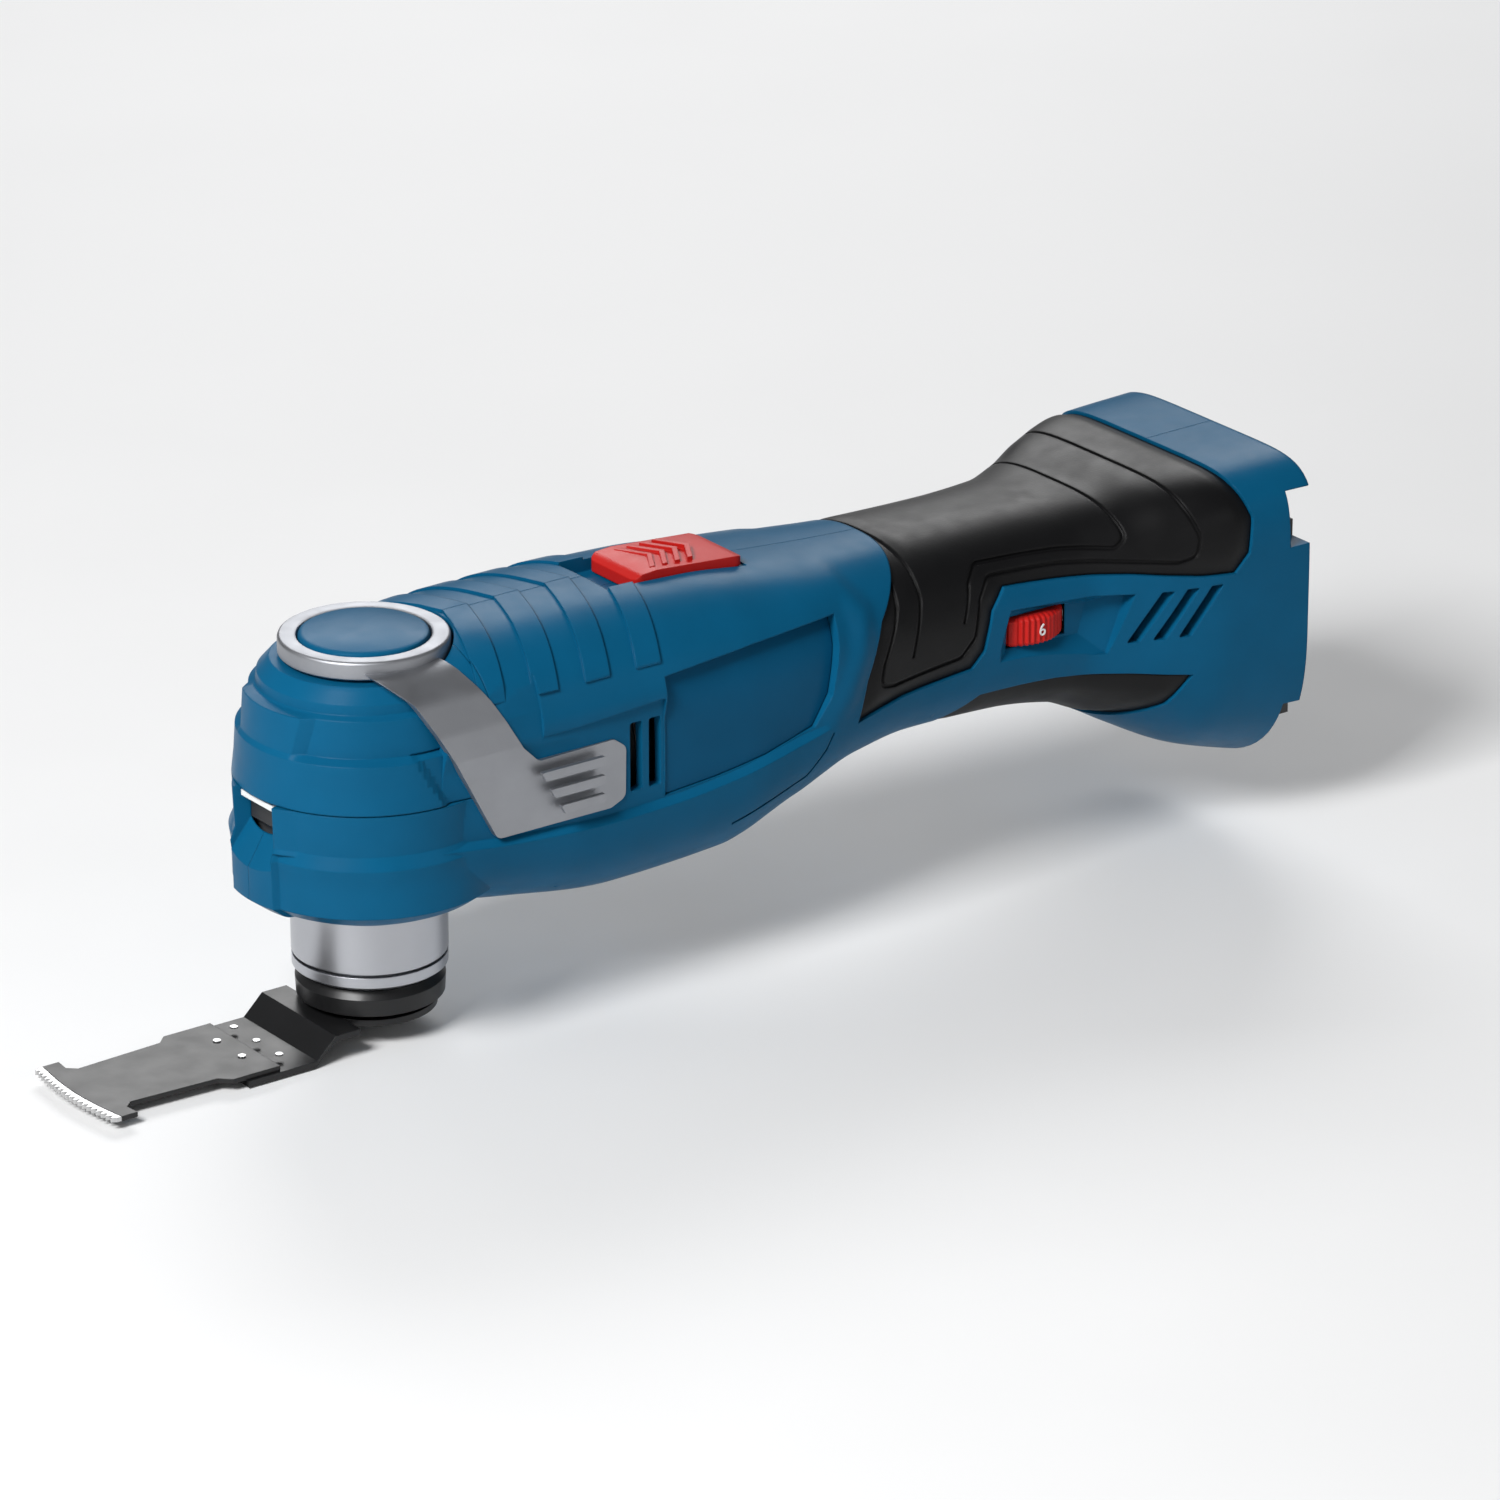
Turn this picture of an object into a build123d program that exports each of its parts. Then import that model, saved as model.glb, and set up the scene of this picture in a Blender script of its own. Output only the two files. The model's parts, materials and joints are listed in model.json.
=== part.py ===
from build123d import *
import math
import os

# Cordless oscillating multi tool without its battery pack. Millimetres.
# The origin is on the spindle axis at the lower rim of the spindle's bell.
# +Z runs up the spindle, +X from the head to the battery foot.

FIT = 0.05                   # radial clearance of a running fit
GAP = 0.3                    # clear space between bodies that move apart
TOUCH = 0.05                 # slack between pieces fixed to each other
PRESS = 0.001                # left between pieces pressed onto each other

MOTOR_Z = 42.0               # height of the motor shaft
WALL = 2.5                   # wall of the barrel
GRIP_WALL = 4.4              # wall and rubber together in the handle
RUBBER = 1.9                 # thickness of the soft grip
FOOT_X = 237.0               # rear end of the tool, at its upper lip
FOOT_SIDE_X = 235.0          # rear edge of the foot's sides
CAVITY_END_X = 224.0

HEAD_R = 30.2                # the round gear head, at its widest
HEAD_SEAM_Z = 46.2           # joint between the head's cap and the clamshells
HEAD_TOP_Z = 72.7
CAP_REAR_X = 14.0
RING_CLEAR_R = 19.6          # space in the barrel's shoulder for the lever's ring

NECK_R = 17.3
RIM_TOP_Z = 3.4              # top of the spindle's rim
NECK_LOW_Z = 4.0
NECK_WALL_TOP_Z = 13.6       # where attachments on the neck end, under the barrel's belly
BELL_R = 15.0
BELL_TOP_Z = 16.0
SPINDLE_R = 9.0
SPINDLE_TOP_Z = 57.5
BORE_R = 5.2
ROD_R = 3.0
ROD_TRAVEL = 2.5             # stroke that opens the clamp
LEVER_SWING = 100            # degrees, closed to open
DOG_RADIUS = 5.3             # where the lever's cam touches the release rod
RING_LOW_Z = 73.3
RING_TOP_Z = 77.6
RING_R = 18.8

ECCENTRICITY = 0.6
FORK_REACH = 20.0            # spindle axis to the middle of the eccentric bearing
ECCENTRIC_BEARING_R = 8.0
FORK_SLACK = 1.7             # each side, so the fork and eccentric can be posed apart

NOSE_R = 18.0                # tube of the gear case round the motor's front bearing

ARM_PLANE_Y = -30.4          # inner face of the lever's arm
ARM_FACE_Y = -32.8           # its outer face
TAB_FLOOR_Y = -29.9          # floor of the recess behind the lever's tab


# ------------------------------------------------------------------ basic shapes

def block(x, y, z):
    """A box from three (low, high) pairs."""
    low_corner = (Align.MIN, Align.MIN, Align.MIN)
    return Pos(x[0], y[0], z[0]) * Box(x[1] - x[0], y[1] - y[0], z[1] - z[0], align=low_corner)


def upright(radius, low, high, x=0, y=0):
    return Pos(x, y, (low + high) / 2) * Cylinder(radius, high - low)


def along_x(radius, low, high, y=0, z=MOTOR_Z):
    return Pos((low + high) / 2, y, z) * Rot(0, 90, 0) * Cylinder(radius, high - low)


def along_y(radius, low, high, x, z):
    return Pos(x, (low + high) / 2, z) * Rot(90, 0, 0) * Cylinder(radius, high - low)


def ring(inner, outer, low, high):
    return upright(outer, low, high) - upright(inner, low - 1, high + 1)


def ring_x(inner, outer, low, high, z=MOTOR_Z):
    return along_x(outer, low, high, z=z) - along_x(inner, low - 1, high + 1, z=z)


def turned(profile):
    """A solid of revolution about the spindle axis from (radius, height) corners."""
    outline = Polyline([(r, 0, z) for r, z in profile], close=True)
    return revolve(make_face(outline), Axis.Z, 360)


def side_prism(outline, low_y, high_y):
    """An (x, z) outline given thickness along Y."""
    face = make_face(Polyline([(x, low_y, z) for x, z in outline], close=True))
    return extrude(face, amount=high_y - low_y, dir=(0, 1, 0))


def plan_prism(outline, low, high):
    """An (x, y) outline given thickness along Z."""
    face = make_face(Polyline([(x, y, low) for x, y in outline], close=True))
    return extrude(face, amount=high - low, dir=(0, 0, 1))


def group(pieces):
    return Compound(children=list(pieces))


def around(count, make, radius, start=0.0):
    """count copies of a piece made at (x, y) on a circle about Z."""
    places = []
    for i in range(count):
        angle = math.radians(start + 360 * i / count)
        places.append(make(radius * math.cos(angle), radius * math.sin(angle)))
    return group(places)


# ------------------------------------------------------------------ outer form

# x, underside, top, half width, height of the widest line, squareness above and below
STATIONS = [
    (0, 18.5, 74.3, 30.0, 44, 3.0, 3.0),
    (22, 14.2, 77.4, 31.2, 44, 3.0, 3.0),
    (50, 10.4, 77.5, 32.0, 44, 3.0, 3.0),
    (78, 11.6, 76.6, 32.0, 44, 3.0, 3.0),
    (98, 18.4, 74.3, 30.5, 45, 3.0, 3.0),
    (118, 24.0, 72.7, 27.5, 47, 2.8, 2.8),
    (135, 25.2, 71.8, 25.8, 48, 2.6, 2.6),
    (160, 24.3, 71.3, 25.2, 48, 2.6, 2.6),
    (178, 21.8, 71.2, 26.5, 47, 2.8, 2.6),
    (190, 16.8, 71.8, 30.0, 45, 3.5, 2.6),
    (200, 11.2, 73.8, 33.5, 42, 4.5, 2.6),
    (214, 4.0, 75.4, 36.5, 38, 6.0, 2.6),
    (FOOT_X, -3.3, 75.8, 37.5, 36, 6.5, 2.6),
]
QUARTER_STEPS = 4


def quarter(x, middle, half, reach, square, side):
    """Quarter of a superellipse from the widest line to the top (or bottom, with reach below zero)."""
    points = []
    for i in range(QUARTER_STEPS + 1):
        angle = math.pi / 2 * i / QUARTER_STEPS
        y = side * half * math.cos(angle) ** (2 / square)
        z = middle + reach * math.sin(angle) ** (2 / square)
        points.append(Vector(x, y, z))
    points[-1] = Vector(x, 0, middle + reach)
    upwards = Vector(0, 0, math.copysign(1, reach))
    return points, [upwards, Vector(0, -side, 0)]


def section_wire(station, inset):
    """Rounded cross section: a superellipse with its own squareness above and below."""
    x, low, high, half, middle, square_top, square_low = station
    up, down = high - middle - inset, low - middle + inset
    edges = []
    for reach, square, side in ((up, square_top, 1), (up, square_top, -1),
                                (down, square_low, -1), (down, square_low, 1)):
        points, tangents = quarter(x, middle, half - inset, reach, square, side)
        edges.append(Edge.make_spline(points, tangents=tangents))
    return Wire(edges)


def barrel_form(inset_of_x):
    wires = [section_wire(s, inset_of_x(s[0])) for s in STATIONS]
    return Solid.make_loft(wires)


def inner_inset(x):
    """Barrel wall in front, thicker where the handle carries rubber."""
    blend = min(max((x - 98) / 20, 0), 1)
    return WALL + (GRIP_WALL - WALL) * blend


def head_profile(inset):
    """Stepped outline of the head as (radius, height), from the neck to the lever's ring."""
    outer = [
        (18.5, 16.4), (25.5, 19.0), (29.6, 22.5), (HEAD_R, 33.8), (28.9, 36.4), (29.3, HEAD_SEAM_Z),
        (28.1, 57.3), (26.3, 59.1), (25.6, 63.0), (25.0, 66.2), (24.2, 67.8), (24.2, 69.2),
        (21.4, 72.1), (20.6, HEAD_TOP_Z),
    ]
    low, high = 16.4 + inset, HEAD_TOP_Z - inset
    walls = [(r - inset, min(max(z, low), high)) for r, z in outer]
    return [(0, low)] + walls + [(0, high)]


def barrel_behind_head(inset_of_x, inset):
    """The barrel, whose upper half starts behind the lever's arm and ring."""
    shoulder = [
        (-60, 47), (0.5 + inset, 47), (2 + inset, 60), (7 + inset, 68), (9 + inset, 90), (-60, 90),
    ]
    ring_space = upright(RING_CLEAR_R + inset, HEAD_TOP_Z - inset, 99)
    return barrel_form(inset_of_x) - side_prism(shoulder, -60, 60) - ring_space


OUTER = barrel_behind_head(lambda x: 0.0, 0.0) + turned(head_profile(0.0))
UNDER_RUBBER = barrel_form(lambda x: RUBBER)
OVER_PLASTIC = barrel_form(lambda x: RUBBER + 0.1)
UNDER_PLATE = barrel_form(lambda x: 1.2)
PLATE_SEAT = barrel_form(lambda x: 1.3)
HEAD_CAVITY = turned(head_profile(WALL))
BEHIND_CAVITY = block((CAVITY_END_X, 260), (-60, 60), (-20, 99))
BARREL_CAVITY = barrel_behind_head(inner_inset, WALL) - BEHIND_CAVITY
SHELL = OUTER - HEAD_CAVITY - BARREL_CAVITY

GRIP_OUTLINE = [
    (137.5, 90), (133, 72), (121, 60), (115.5, 48), (113, 38.5), (127, 41), (147, 42.5),
    (150.5, 46), (153, 55), (157, 59.5), (172, 58.5), (189, 57), (206, 54.5), (214, 54),
    (218, 58), (219.3, 66), (217, 73), (214, 90),
]
BELLY_OUTLINE = [
    (140, 10), (143, 29), (151, 34.5), (172, 34), (189, 32.5), (204, 30.5), (200, 23),
    (192, 18), (184, 10),
]
UNDER_PAD_OUTLINE = [(70, -5), (72, 14.5), (80, 16), (92, 20.5), (101, 22.5), (104, -5)]
PLATE_OUTLINE = [
    (58.5, 35.2), (58.5, 62.8), (83, 64.4), (107.5, 64.8), (107, 58), (104.5, 47.5), (99.8, 41),
    (86, 38), (72, 36.2),
]
TAB_RECESS = [(-60, 34.6), (-60, 58), (58, 58), (58, 34.6)]


def rubber_layer(outline):
    """The outer skin of the form inside a side-view outline."""
    return main_solid(OUTER & side_prism(outline, -50, 50) - UNDER_RUBBER)


def rubber_seat(outline):
    """What the clamshells give up for a rubber layer."""
    return side_prism(outline, -60, 60) - OVER_PLASTIC


def plate_cut(side, core):
    """Recess for the plate on one flank of the barrel, down to an inset copy of the barrel."""
    low, high = (-60, -5) if side < 0 else (5, 60)
    return side_prism(PLATE_OUTLINE, low, high) - core


# ------------------------------------------------------------------ housing

SCREW_PLACES = [(36, 17.5), (40, 69.5), (112, 28), (136, 34), (207, 24), (223.5, 63.5)]
BOSS_R = 3.4
SCREW_R = 1.5
SCREW_HEAD_R = 2.8
RIGHT_SCREW_FACE = 15.0      # depth at which the screw heads sit, in the right clamshell
SLIDER_X = (65.5, 95.0)
SLIDER_TRAVEL = 7.0          # towards the head
SLIDER_HALF = 9.0
DIAL_X = 166.0
DIAL_Y = -14.6
DIAL_R = 11.6
DIAL_RIBS = 36
DIAL_Z = (43.6, 51.4)
VENT_SLOT_X = (48.6, 54.0)
REAR_SLOTS = 3


def screw_bosses():
    """Posts that join the clamshells, kept inside the outer form."""
    posts = [along_y(BOSS_R, -60, 60, x, z) for x, z in SCREW_PLACES]
    return [OUTER & post for post in posts]


def vent_cuts():
    """Two upright slots behind each lever tab."""
    cuts = []
    for x in VENT_SLOT_X:
        for side in (-1, 1):
            low, high = (-40, -26) if side < 0 else (26, 40)
            cuts.append(block((x, x + 3.0), (low, high), (38.5, 55.5)))
    return cuts


def rear_vent_cuts():
    """Slanted slots in the flanks of the battery foot."""
    cuts = []
    for i in range(REAR_SLOTS):
        x = 188 + 5.9 * i
        slot = [(x, 40.5), (x + 3.2, 40.5), (x + 11.2, 52), (x + 8, 52)]
        cuts.append(side_prism(slot, -45, -18))
        cuts.append(side_prism(slot, 18, 45))
    return cuts


def switch_cuts():
    """Well for the slider on top, and the slot for its stem."""
    front = SLIDER_X[0] - SLIDER_TRAVEL - 1
    well = block((front, SLIDER_X[1] + 0.5), (-SLIDER_HALF - 0.5, SLIDER_HALF + 0.5), (74.2, 90))
    stem_slot = block((66, 90), (-3.5, 3.5), (65, 80))
    return [well, stem_slot]


def battery_cuts():
    """Set-back rear edge, the groove and step the pack's rails run in, and the bay between them."""
    rear_edge = block((FOOT_SIDE_X, 260), (-60, 60), (-20, 70))
    upper = block((229.5, 260), (-60, 60), (57, 70))
    lower = block((230.5, 260), (-60, 60), (-20, 17.5))
    bay = block((222, 260), (-29.3, 29.3), (15, 57))
    return [rear_edge, upper, lower, bay]


def led_cut():
    """Pocket at the front of the head for the work light."""
    outline = [(-24.8, 46.1), (-40, 46.1), (-40, 31), (-29.5, 31), (-24.8, 37.4)]
    return side_prism(outline, -9, 9)


def tab_recesses():
    """Flats on both flanks that the lever's tab lies against."""
    return side_prism(TAB_RECESS, -60, TAB_FLOOR_Y) + side_prism(TAB_RECESS, -TAB_FLOOR_Y, 60)


def arm_clearance():
    """Space along the left flank for the upper part of the lever's arm."""
    outline = [(-29.8, 52), (-29.8, 57), (-29.1, 62.5), (-26.0, 70.3), (-50, 70.3), (-50, 52)]
    face = make_face(Polyline([(-25, y, z) for y, z in outline], close=True))
    return extrude(face, amount=51, dir=(1, 0, 0))


def housing_form():
    form = SHELL
    for post in screw_bosses():
        form = form + post
    cap_zone = block((-60, CAP_REAR_X), (-60, 60), (HEAD_SEAM_Z, 99))
    form = form - cap_zone - upright(NECK_R + TOUCH, 0, 30)
    form = form - along_x(NOSE_R + GAP, 0, 45)
    for outline in (GRIP_OUTLINE, BELLY_OUTLINE, UNDER_PAD_OUTLINE):
        form = form - rubber_seat(outline)
    form = form - tab_recesses() - arm_clearance()
    form = form - plate_cut(-1, PLATE_SEAT) - plate_cut(1, PLATE_SEAT)
    for cut in vent_cuts() + rear_vent_cuts() + switch_cuts() + battery_cuts() + [led_cut()]:
        form = form - cut
    form = form - block((DIAL_X - 9.5, DIAL_X + 9.5), (-40, DIAL_Y), (43, 52))
    form = form - upright(DIAL_R + 0.6, 43, 52, DIAL_X, DIAL_Y)
    return form


def housing_halves():
    form = housing_form()
    left = form & block((-60, 300), (-60, -TOUCH / 2), (-20, 120))
    right = form & block((-60, 300), (TOUCH / 2, 60), (-20, 120))
    for x, z in SCREW_PLACES:
        left = left - along_y(SCREW_R + TOUCH, -12, 1, x, z)
        right = right - along_y(SCREW_R + TOUCH, -1, RIGHT_SCREW_FACE + 1, x, z)
        right = right - along_y(SCREW_HEAD_R + TOUCH, RIGHT_SCREW_FACE, 60, x, z)
    return main_solid(left), main_solid(right)


def main_solid(shape):
    """The largest solid of a cut shape; chips cut loose are not part of it."""
    return max(shape.solids(), key=lambda solid: solid.volume)


def housing_screws():
    screws = []
    for x, z in SCREW_PLACES:
        shank = along_y(SCREW_R, -11, RIGHT_SCREW_FACE + 0.5, x, z)
        head = along_y(SCREW_HEAD_R, RIGHT_SCREW_FACE + TOUCH, RIGHT_SCREW_FACE + 2.4, x, z)
        socket = along_y(1.2, RIGHT_SCREW_FACE + 1.0, RIGHT_SCREW_FACE + 3, x, z)
        screws.append(shank + head - socket)
    return group(screws)


def head_cover():
    """Blue cap over the gear head, open at the rear towards the barrel."""
    zone = block((-60, CAP_REAR_X - TOUCH), (-60, 60), (HEAD_SEAM_Z + TOUCH, HEAD_TOP_Z + 0.1))
    slab = OUTER & zone
    cover = slab - HEAD_CAVITY - BARREL_CAVITY - upright(12, 60, 90)
    return main_solid(cover - tab_recesses() - arm_clearance() - along_x(NOSE_R + GAP, 0, 45))


def side_plate(side):
    return main_solid(OUTER & plate_cut(side, UNDER_PLATE))


def grip_rubber():
    return rubber_layer(GRIP_OUTLINE)


def belly_rubber():
    return rubber_layer(BELLY_OUTLINE)


def underside_pad():
    return rubber_layer(UNDER_PAD_OUTLINE)


# ------------------------------------------------------------------ gear head

BEARING_INNER_R = 9.0
BEARING_OUTER_R = 16.0
LOWER_BEARING_Z = (20.6, 27.6)
UPPER_BEARING_Z = (49.0, 55.0)
FORK_Z = (36.5, 47.5)
CASE_R = 24.4
CASE_TOP_Z = 54.0
COVER_SCREW_TURNS = (60, 120, 240, 300)
COVER_SCREWS = [(19.2 * math.cos(math.radians(a)), 19.2 * math.sin(math.radians(a)))
                for a in COVER_SCREW_TURNS]


def bearing_parts(low, high, inner=BEARING_INNER_R, outer=BEARING_OUTER_R, balls=9):
    """Outer ring, inner ring and balls of a deep-groove bearing about Z."""
    pitch = (inner + outer) / 2
    ball_r = (outer - inner) * 0.27
    groove = Pos(0, 0, (low + high) / 2) * Torus(pitch, ball_r + 0.04)
    outer_ring = ring(pitch + ball_r * 0.55, outer, low, high) - groove
    inner_ring = ring(inner, pitch - ball_r * 0.55, low, high) - groove
    middle = (low + high) / 2
    ball_set = around(balls, lambda x, y: Pos(x, y, middle) * Sphere(ball_r), pitch)
    return outer_ring, inner_ring, ball_set


def lay_along_x(shape, x, z=MOTOR_Z):
    """Turns a piece made about Z at the origin so that it lies about the motor axis."""
    return Pos(x, 0, z) * Rot(0, 90, 0) * shape


def gear_case():
    body = upright(20.4, 20.5, 24) + upright(CASE_R, 23, CASE_TOP_Z) + along_x(NOSE_R, 10, 38)
    body = body - upright(CASE_R + TOUCH, CASE_TOP_Z, 62)
    body = body - upright(21.4, 29.5, 60) - upright(BEARING_OUTER_R + TOUCH, 19, 30)
    body = body - along_x(15.4, 0, 33) - along_x(11 + TOUCH, 30, 45)
    for x, y in COVER_SCREWS:
        body = body + (upright(2.4, 44, 54, x, y) & upright(CASE_R, 40, 60))
        body = body - upright(1.25 + TOUCH, 46, 60, x, y)
    return body


def gear_case_cover():
    plate = upright(CASE_R, 54 + TOUCH, 57) + upright(21.2, 48.6, 54.2)
    plate = plate - upright(BEARING_OUTER_R + TOUCH, 40, UPPER_BEARING_Z[1] + TOUCH)
    plate = plate - upright(BEARING_INNER_R + 1, 40, 60) - block((16.4, 30), (-9.6, 9.6), (40, 52))
    for x, y in COVER_SCREWS:
        plate = plate - upright(1.25 + TOUCH, 40, 60, x, y)
        plate = plate - upright(2.4 + TOUCH, 40, 54 + TOUCH, x, y)
    return plate


def gear_case_screws():
    screws = []
    for x, y in COVER_SCREWS:
        screw = upright(1.25, 47, 57.2, x, y) + upright(2.2, 57 + TOUCH, 58.8, x, y)
        screws.append(screw - upright(1.0, 58, 60, x, y))
    return group(screws)


def neck_collar():
    """Steel neck that carries attachments, pressed into the gear case."""
    return turned([
        (15.4, NECK_LOW_Z), (NECK_R - 0.4, NECK_LOW_Z), (NECK_R, NECK_LOW_Z + 0.4),
        (NECK_R, NECK_WALL_TOP_Z), (NECK_R - 0.5, NECK_WALL_TOP_Z), (NECK_R - 0.5, 19), (20.4, 19),
        (20.4, 20.4), (12, 20.4), (12, 18.4), (15.4, 18.4),
    ])


def spindle():
    """Hollow shaft with the bell that takes the accessory."""
    return turned([
        (11.6, 0.4), (15.8, 0), (NECK_R - 0.1, 1.0), (NECK_R - 0.1, RIM_TOP_Z), (BELL_R, RIM_TOP_Z),
        (BELL_R, BELL_TOP_Z), (SPINDLE_R, BELL_TOP_Z), (SPINDLE_R, SPINDLE_TOP_Z),
        (BORE_R, SPINDLE_TOP_Z), (BORE_R, 30), (ROD_R + FIT, 30), (ROD_R + FIT, 13.6),
        (11.6, 13.6),
    ]) - jaw_pin_holes()


JAW_PIN_X = 6.2
JAW_PIN_Z = 11.0


def jaw_pin_holes():
    holes = [along_y(1.0 + TOUCH / 2, -13, 13, x, JAW_PIN_Z) for x in (-JAW_PIN_X, JAW_PIN_X)]
    return holes[0] + holes[1]


def jaw_pins():
    return group([along_y(1.0, -12.8, 12.8, x, JAW_PIN_Z) for x in (-JAW_PIN_X, JAW_PIN_X)])


def clamp_jaw(side):
    """Hooked plate on a pin; its foot reaches through the accessory's middle hole."""
    outline = [
        (3.6, 12.6), (8.4, 12.6), (8.4, 9.0), (6.2, 7.5), (6.2, -4.6), (5.2, -6.6), (2.6, -6.6),
        (2.6, -4.0), (4.0, -2.4), (4.0, 8.4),
    ]
    outline = [(side * x, z) for x, z in outline]
    return side_prism(outline, -3.0, 3.0) - along_y(1.0 + FIT, -6, 6, side * JAW_PIN_X, JAW_PIN_Z)


def release_rod():
    rod = upright(ROD_R, 15.4, 60.5) + upright(4.9, 55.2, 56.6)
    head = upright(7.4, 60.4, 62.3)
    dogs = [upright(1.2, 62, 62.3 + ROD_TRAVEL, x, 0) for x in (-DOG_RADIUS, DOG_RADIUS)]
    return rod + head + dogs[0] + dogs[1]


def clamp_spring():
    """Coil between the step in the bore and the shoulder on the rod."""
    low, high, wire = 30.8, 54.4, 0.7
    turns_height = high - low
    path = Helix(pitch=3.3, height=turns_height, radius=4.15, center=(0, 0, low))
    profile = Plane(origin=path @ 0, z_dir=path % 0) * Circle(wire)
    return sweep(profile, path=path)


def lever_cam():
    """Disc under the lever with two ramps that push the release rod down."""
    base_z = 62.3 + ROD_TRAVEL + GAP
    cam = upright(8.4, base_z, base_z + 2.6) + upright(6.5, base_z + 2, RING_LOW_Z)
    steps = 20
    start = 16
    for dog in (0, 180):
        for i in range(steps):
            drop = ROD_TRAVEL * (i + 1) / steps
            turn = dog + start + LEVER_SWING * i / steps
            width = LEVER_SWING / steps + (10 if i == steps - 1 else 0.3)
            cam = cam + Rot(0, 0, turn) * ramp_step(width, base_z - drop, base_z + 0.5)
    return cam


def ramp_step(width, low, high):
    """Sector of the cam's ramp, from the angle 0 to width."""
    inner, outer = DOG_RADIUS - 1.6, DOG_RADIUS + 1.8
    far = math.radians(width)
    outline = [
        (inner, 0), (outer, 0), (outer * math.cos(far), outer * math.sin(far)),
        (inner * math.cos(far), inner * math.sin(far)),
    ]
    return plan_prism(outline, low, high)


def lever_retaining_ring():
    """Snap ring under the head's cap that keeps the lever's cam in place."""
    return ring(8.8, 12.6, 66.2, 67.4) - block((8, 14), (-2, 2), (60, 70))


def clamp_lever():
    """Cast lever: a ring round the head's top and a bent arm with a tab."""
    rim = turned([
        (14.6, RING_LOW_Z), (RING_R - 0.5, RING_LOW_Z), (RING_R, RING_LOW_Z + 0.5),
        (RING_R, RING_TOP_Z - 1.2), (RING_R - 1.2, RING_TOP_Z), (14.6, RING_TOP_Z),
    ])
    web = ring(0.01, 14.8, RING_LOW_Z, RING_LOW_Z + 1.5)
    return rim + web + (lever_plate() & arm_outline_prism())


def lever_plate():
    """The arm's bent sheet seen along X, before it is cut to its outline."""
    inner = [
        (-16, 75.2), (-20.5, 75.0), (-26.6, 70.0), (-29.6, 62.5), (ARM_PLANE_Y, 57),
        (ARM_PLANE_Y, 30),
    ]
    outer = [
        (-16, 77.4), (-21.4, 77.3), (-28.6, 71.2), (-31.9, 63.2), (ARM_FACE_Y, 57.4),
        (ARM_FACE_Y, 30),
    ]
    points = inner + outer[::-1]
    face = make_face(Polyline([(-20, y, z) for y, z in points], close=True))
    return extrude(face, amount=80, dir=(1, 0, 0))


def arm_outline_prism():
    """Side view of the arm: down from the ring and back into a squared tab."""
    outline = [
        (-15, 79), (-5, 70), (3.2, 56), (11.5, 40.5), (14, 35.8), (42.5, 35.8), (47.2, 38.2),
        (47.6, 49.0), (45.8, 51.6), (24.6, 51.6), (21.8, 54.0), (14, 67), (9, 74), (2, 79),
    ]
    return side_prism(outline, -40, -15)


def cap_disc():
    return turned([(0, 74.9), (14.5, 74.9), (14.5, 77.6), (13.6, 78.3), (8, 78.7), (0, 78.8)])


def oscillating_fork():
    """Clamped to the spindle; its tines straddle the eccentric's bearing."""
    low, high = FORK_Z
    inner = ECCENTRIC_BEARING_R + FORK_SLACK
    hub = ring(SPINDLE_R + PRESS, 13.0, low, high)
    arm = block((8, 25), (-inner - 3.4, inner + 3.4), (low, high))
    arm = arm - upright(10, low - 1, high + 1) - block((12.8, 30), (-inner, inner), (20, 60))
    return hub + arm


# ------------------------------------------------------------------ drive

def rotor_shaft():
    """Motor shaft with the eccentric at its front end."""
    return along_x(4.0, 24, 104.5) + along_x(3.4, 15, 25)


def eccentric_bush():
    lift = MOTOR_Z + ECCENTRICITY
    return along_x(4.4, 15.5, 23.9, z=lift) - along_x(3.4 + PRESS, 10, 26)


def eccentric_bearing():
    """Ball bearing on the eccentric, running between the fork's tines."""
    lift = MOTOR_Z + ECCENTRICITY
    outer_ring, inner_ring, balls = bearing_parts(-3, 3, 4.4, ECCENTRIC_BEARING_R, 8)
    pieces = [outer_ring, inner_ring] + list(balls.children)
    return group([lay_along_x(piece, FORK_REACH, lift) for piece in pieces])


STATOR_X = (57.0, 91.0)
FAN_X = (42.0, 51.0)
STATOR_R = 21.0
REAR_BEARING_X = 100.9


def cooling_fan():
    low, high = FAN_X
    fan = ring_x(4.0, 20.4, low, low + 1.4) + ring_x(4.0, 7.0, low, high)
    for i in range(11):
        blade = block((low + 1, high), (-0.6, 0.6), (6.5, 20.0))
        fan = fan + Pos(0, 0, MOTOR_Z) * Rot(360 * i / 11, 0, 0) * blade
    return fan


def rotor_core():
    return ring_x(4.0, 10.2, STATOR_X[0] + 2, STATOR_X[1] - 2)


def rotor_magnets():
    """Four arched magnets round the rotor core."""
    sleeve = ring_x(10.2, 12.2, STATOR_X[0] + 2, STATOR_X[1] - 2)
    magnets = []
    for i in range(4):
        wedge = Pos(0, 0, MOTOR_Z) * Rot(90 * i + 45, 0, 0) * block((50, 110), (-8.0, 8.0), (5, 15))
        magnets.append(sleeve & wedge)
    return group(magnets)


TOOTH_COUNT = 6


def stator_core():
    low, high = STATOR_X
    core = ring_x(17.6, STATOR_R, low, high)
    for i in range(TOOTH_COUNT):
        tooth = block((low, high), (-2.2, 2.2), (13.2, 18.0))
        shoe = block((low, high), (-4.6, 4.6), (12.9, 14.1))
        core = core + Pos(0, 0, MOTOR_Z) * Rot(60 * i, 0, 0) * (tooth + shoe)
    return core - along_x(12.8, low - 1, high + 1)


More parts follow.
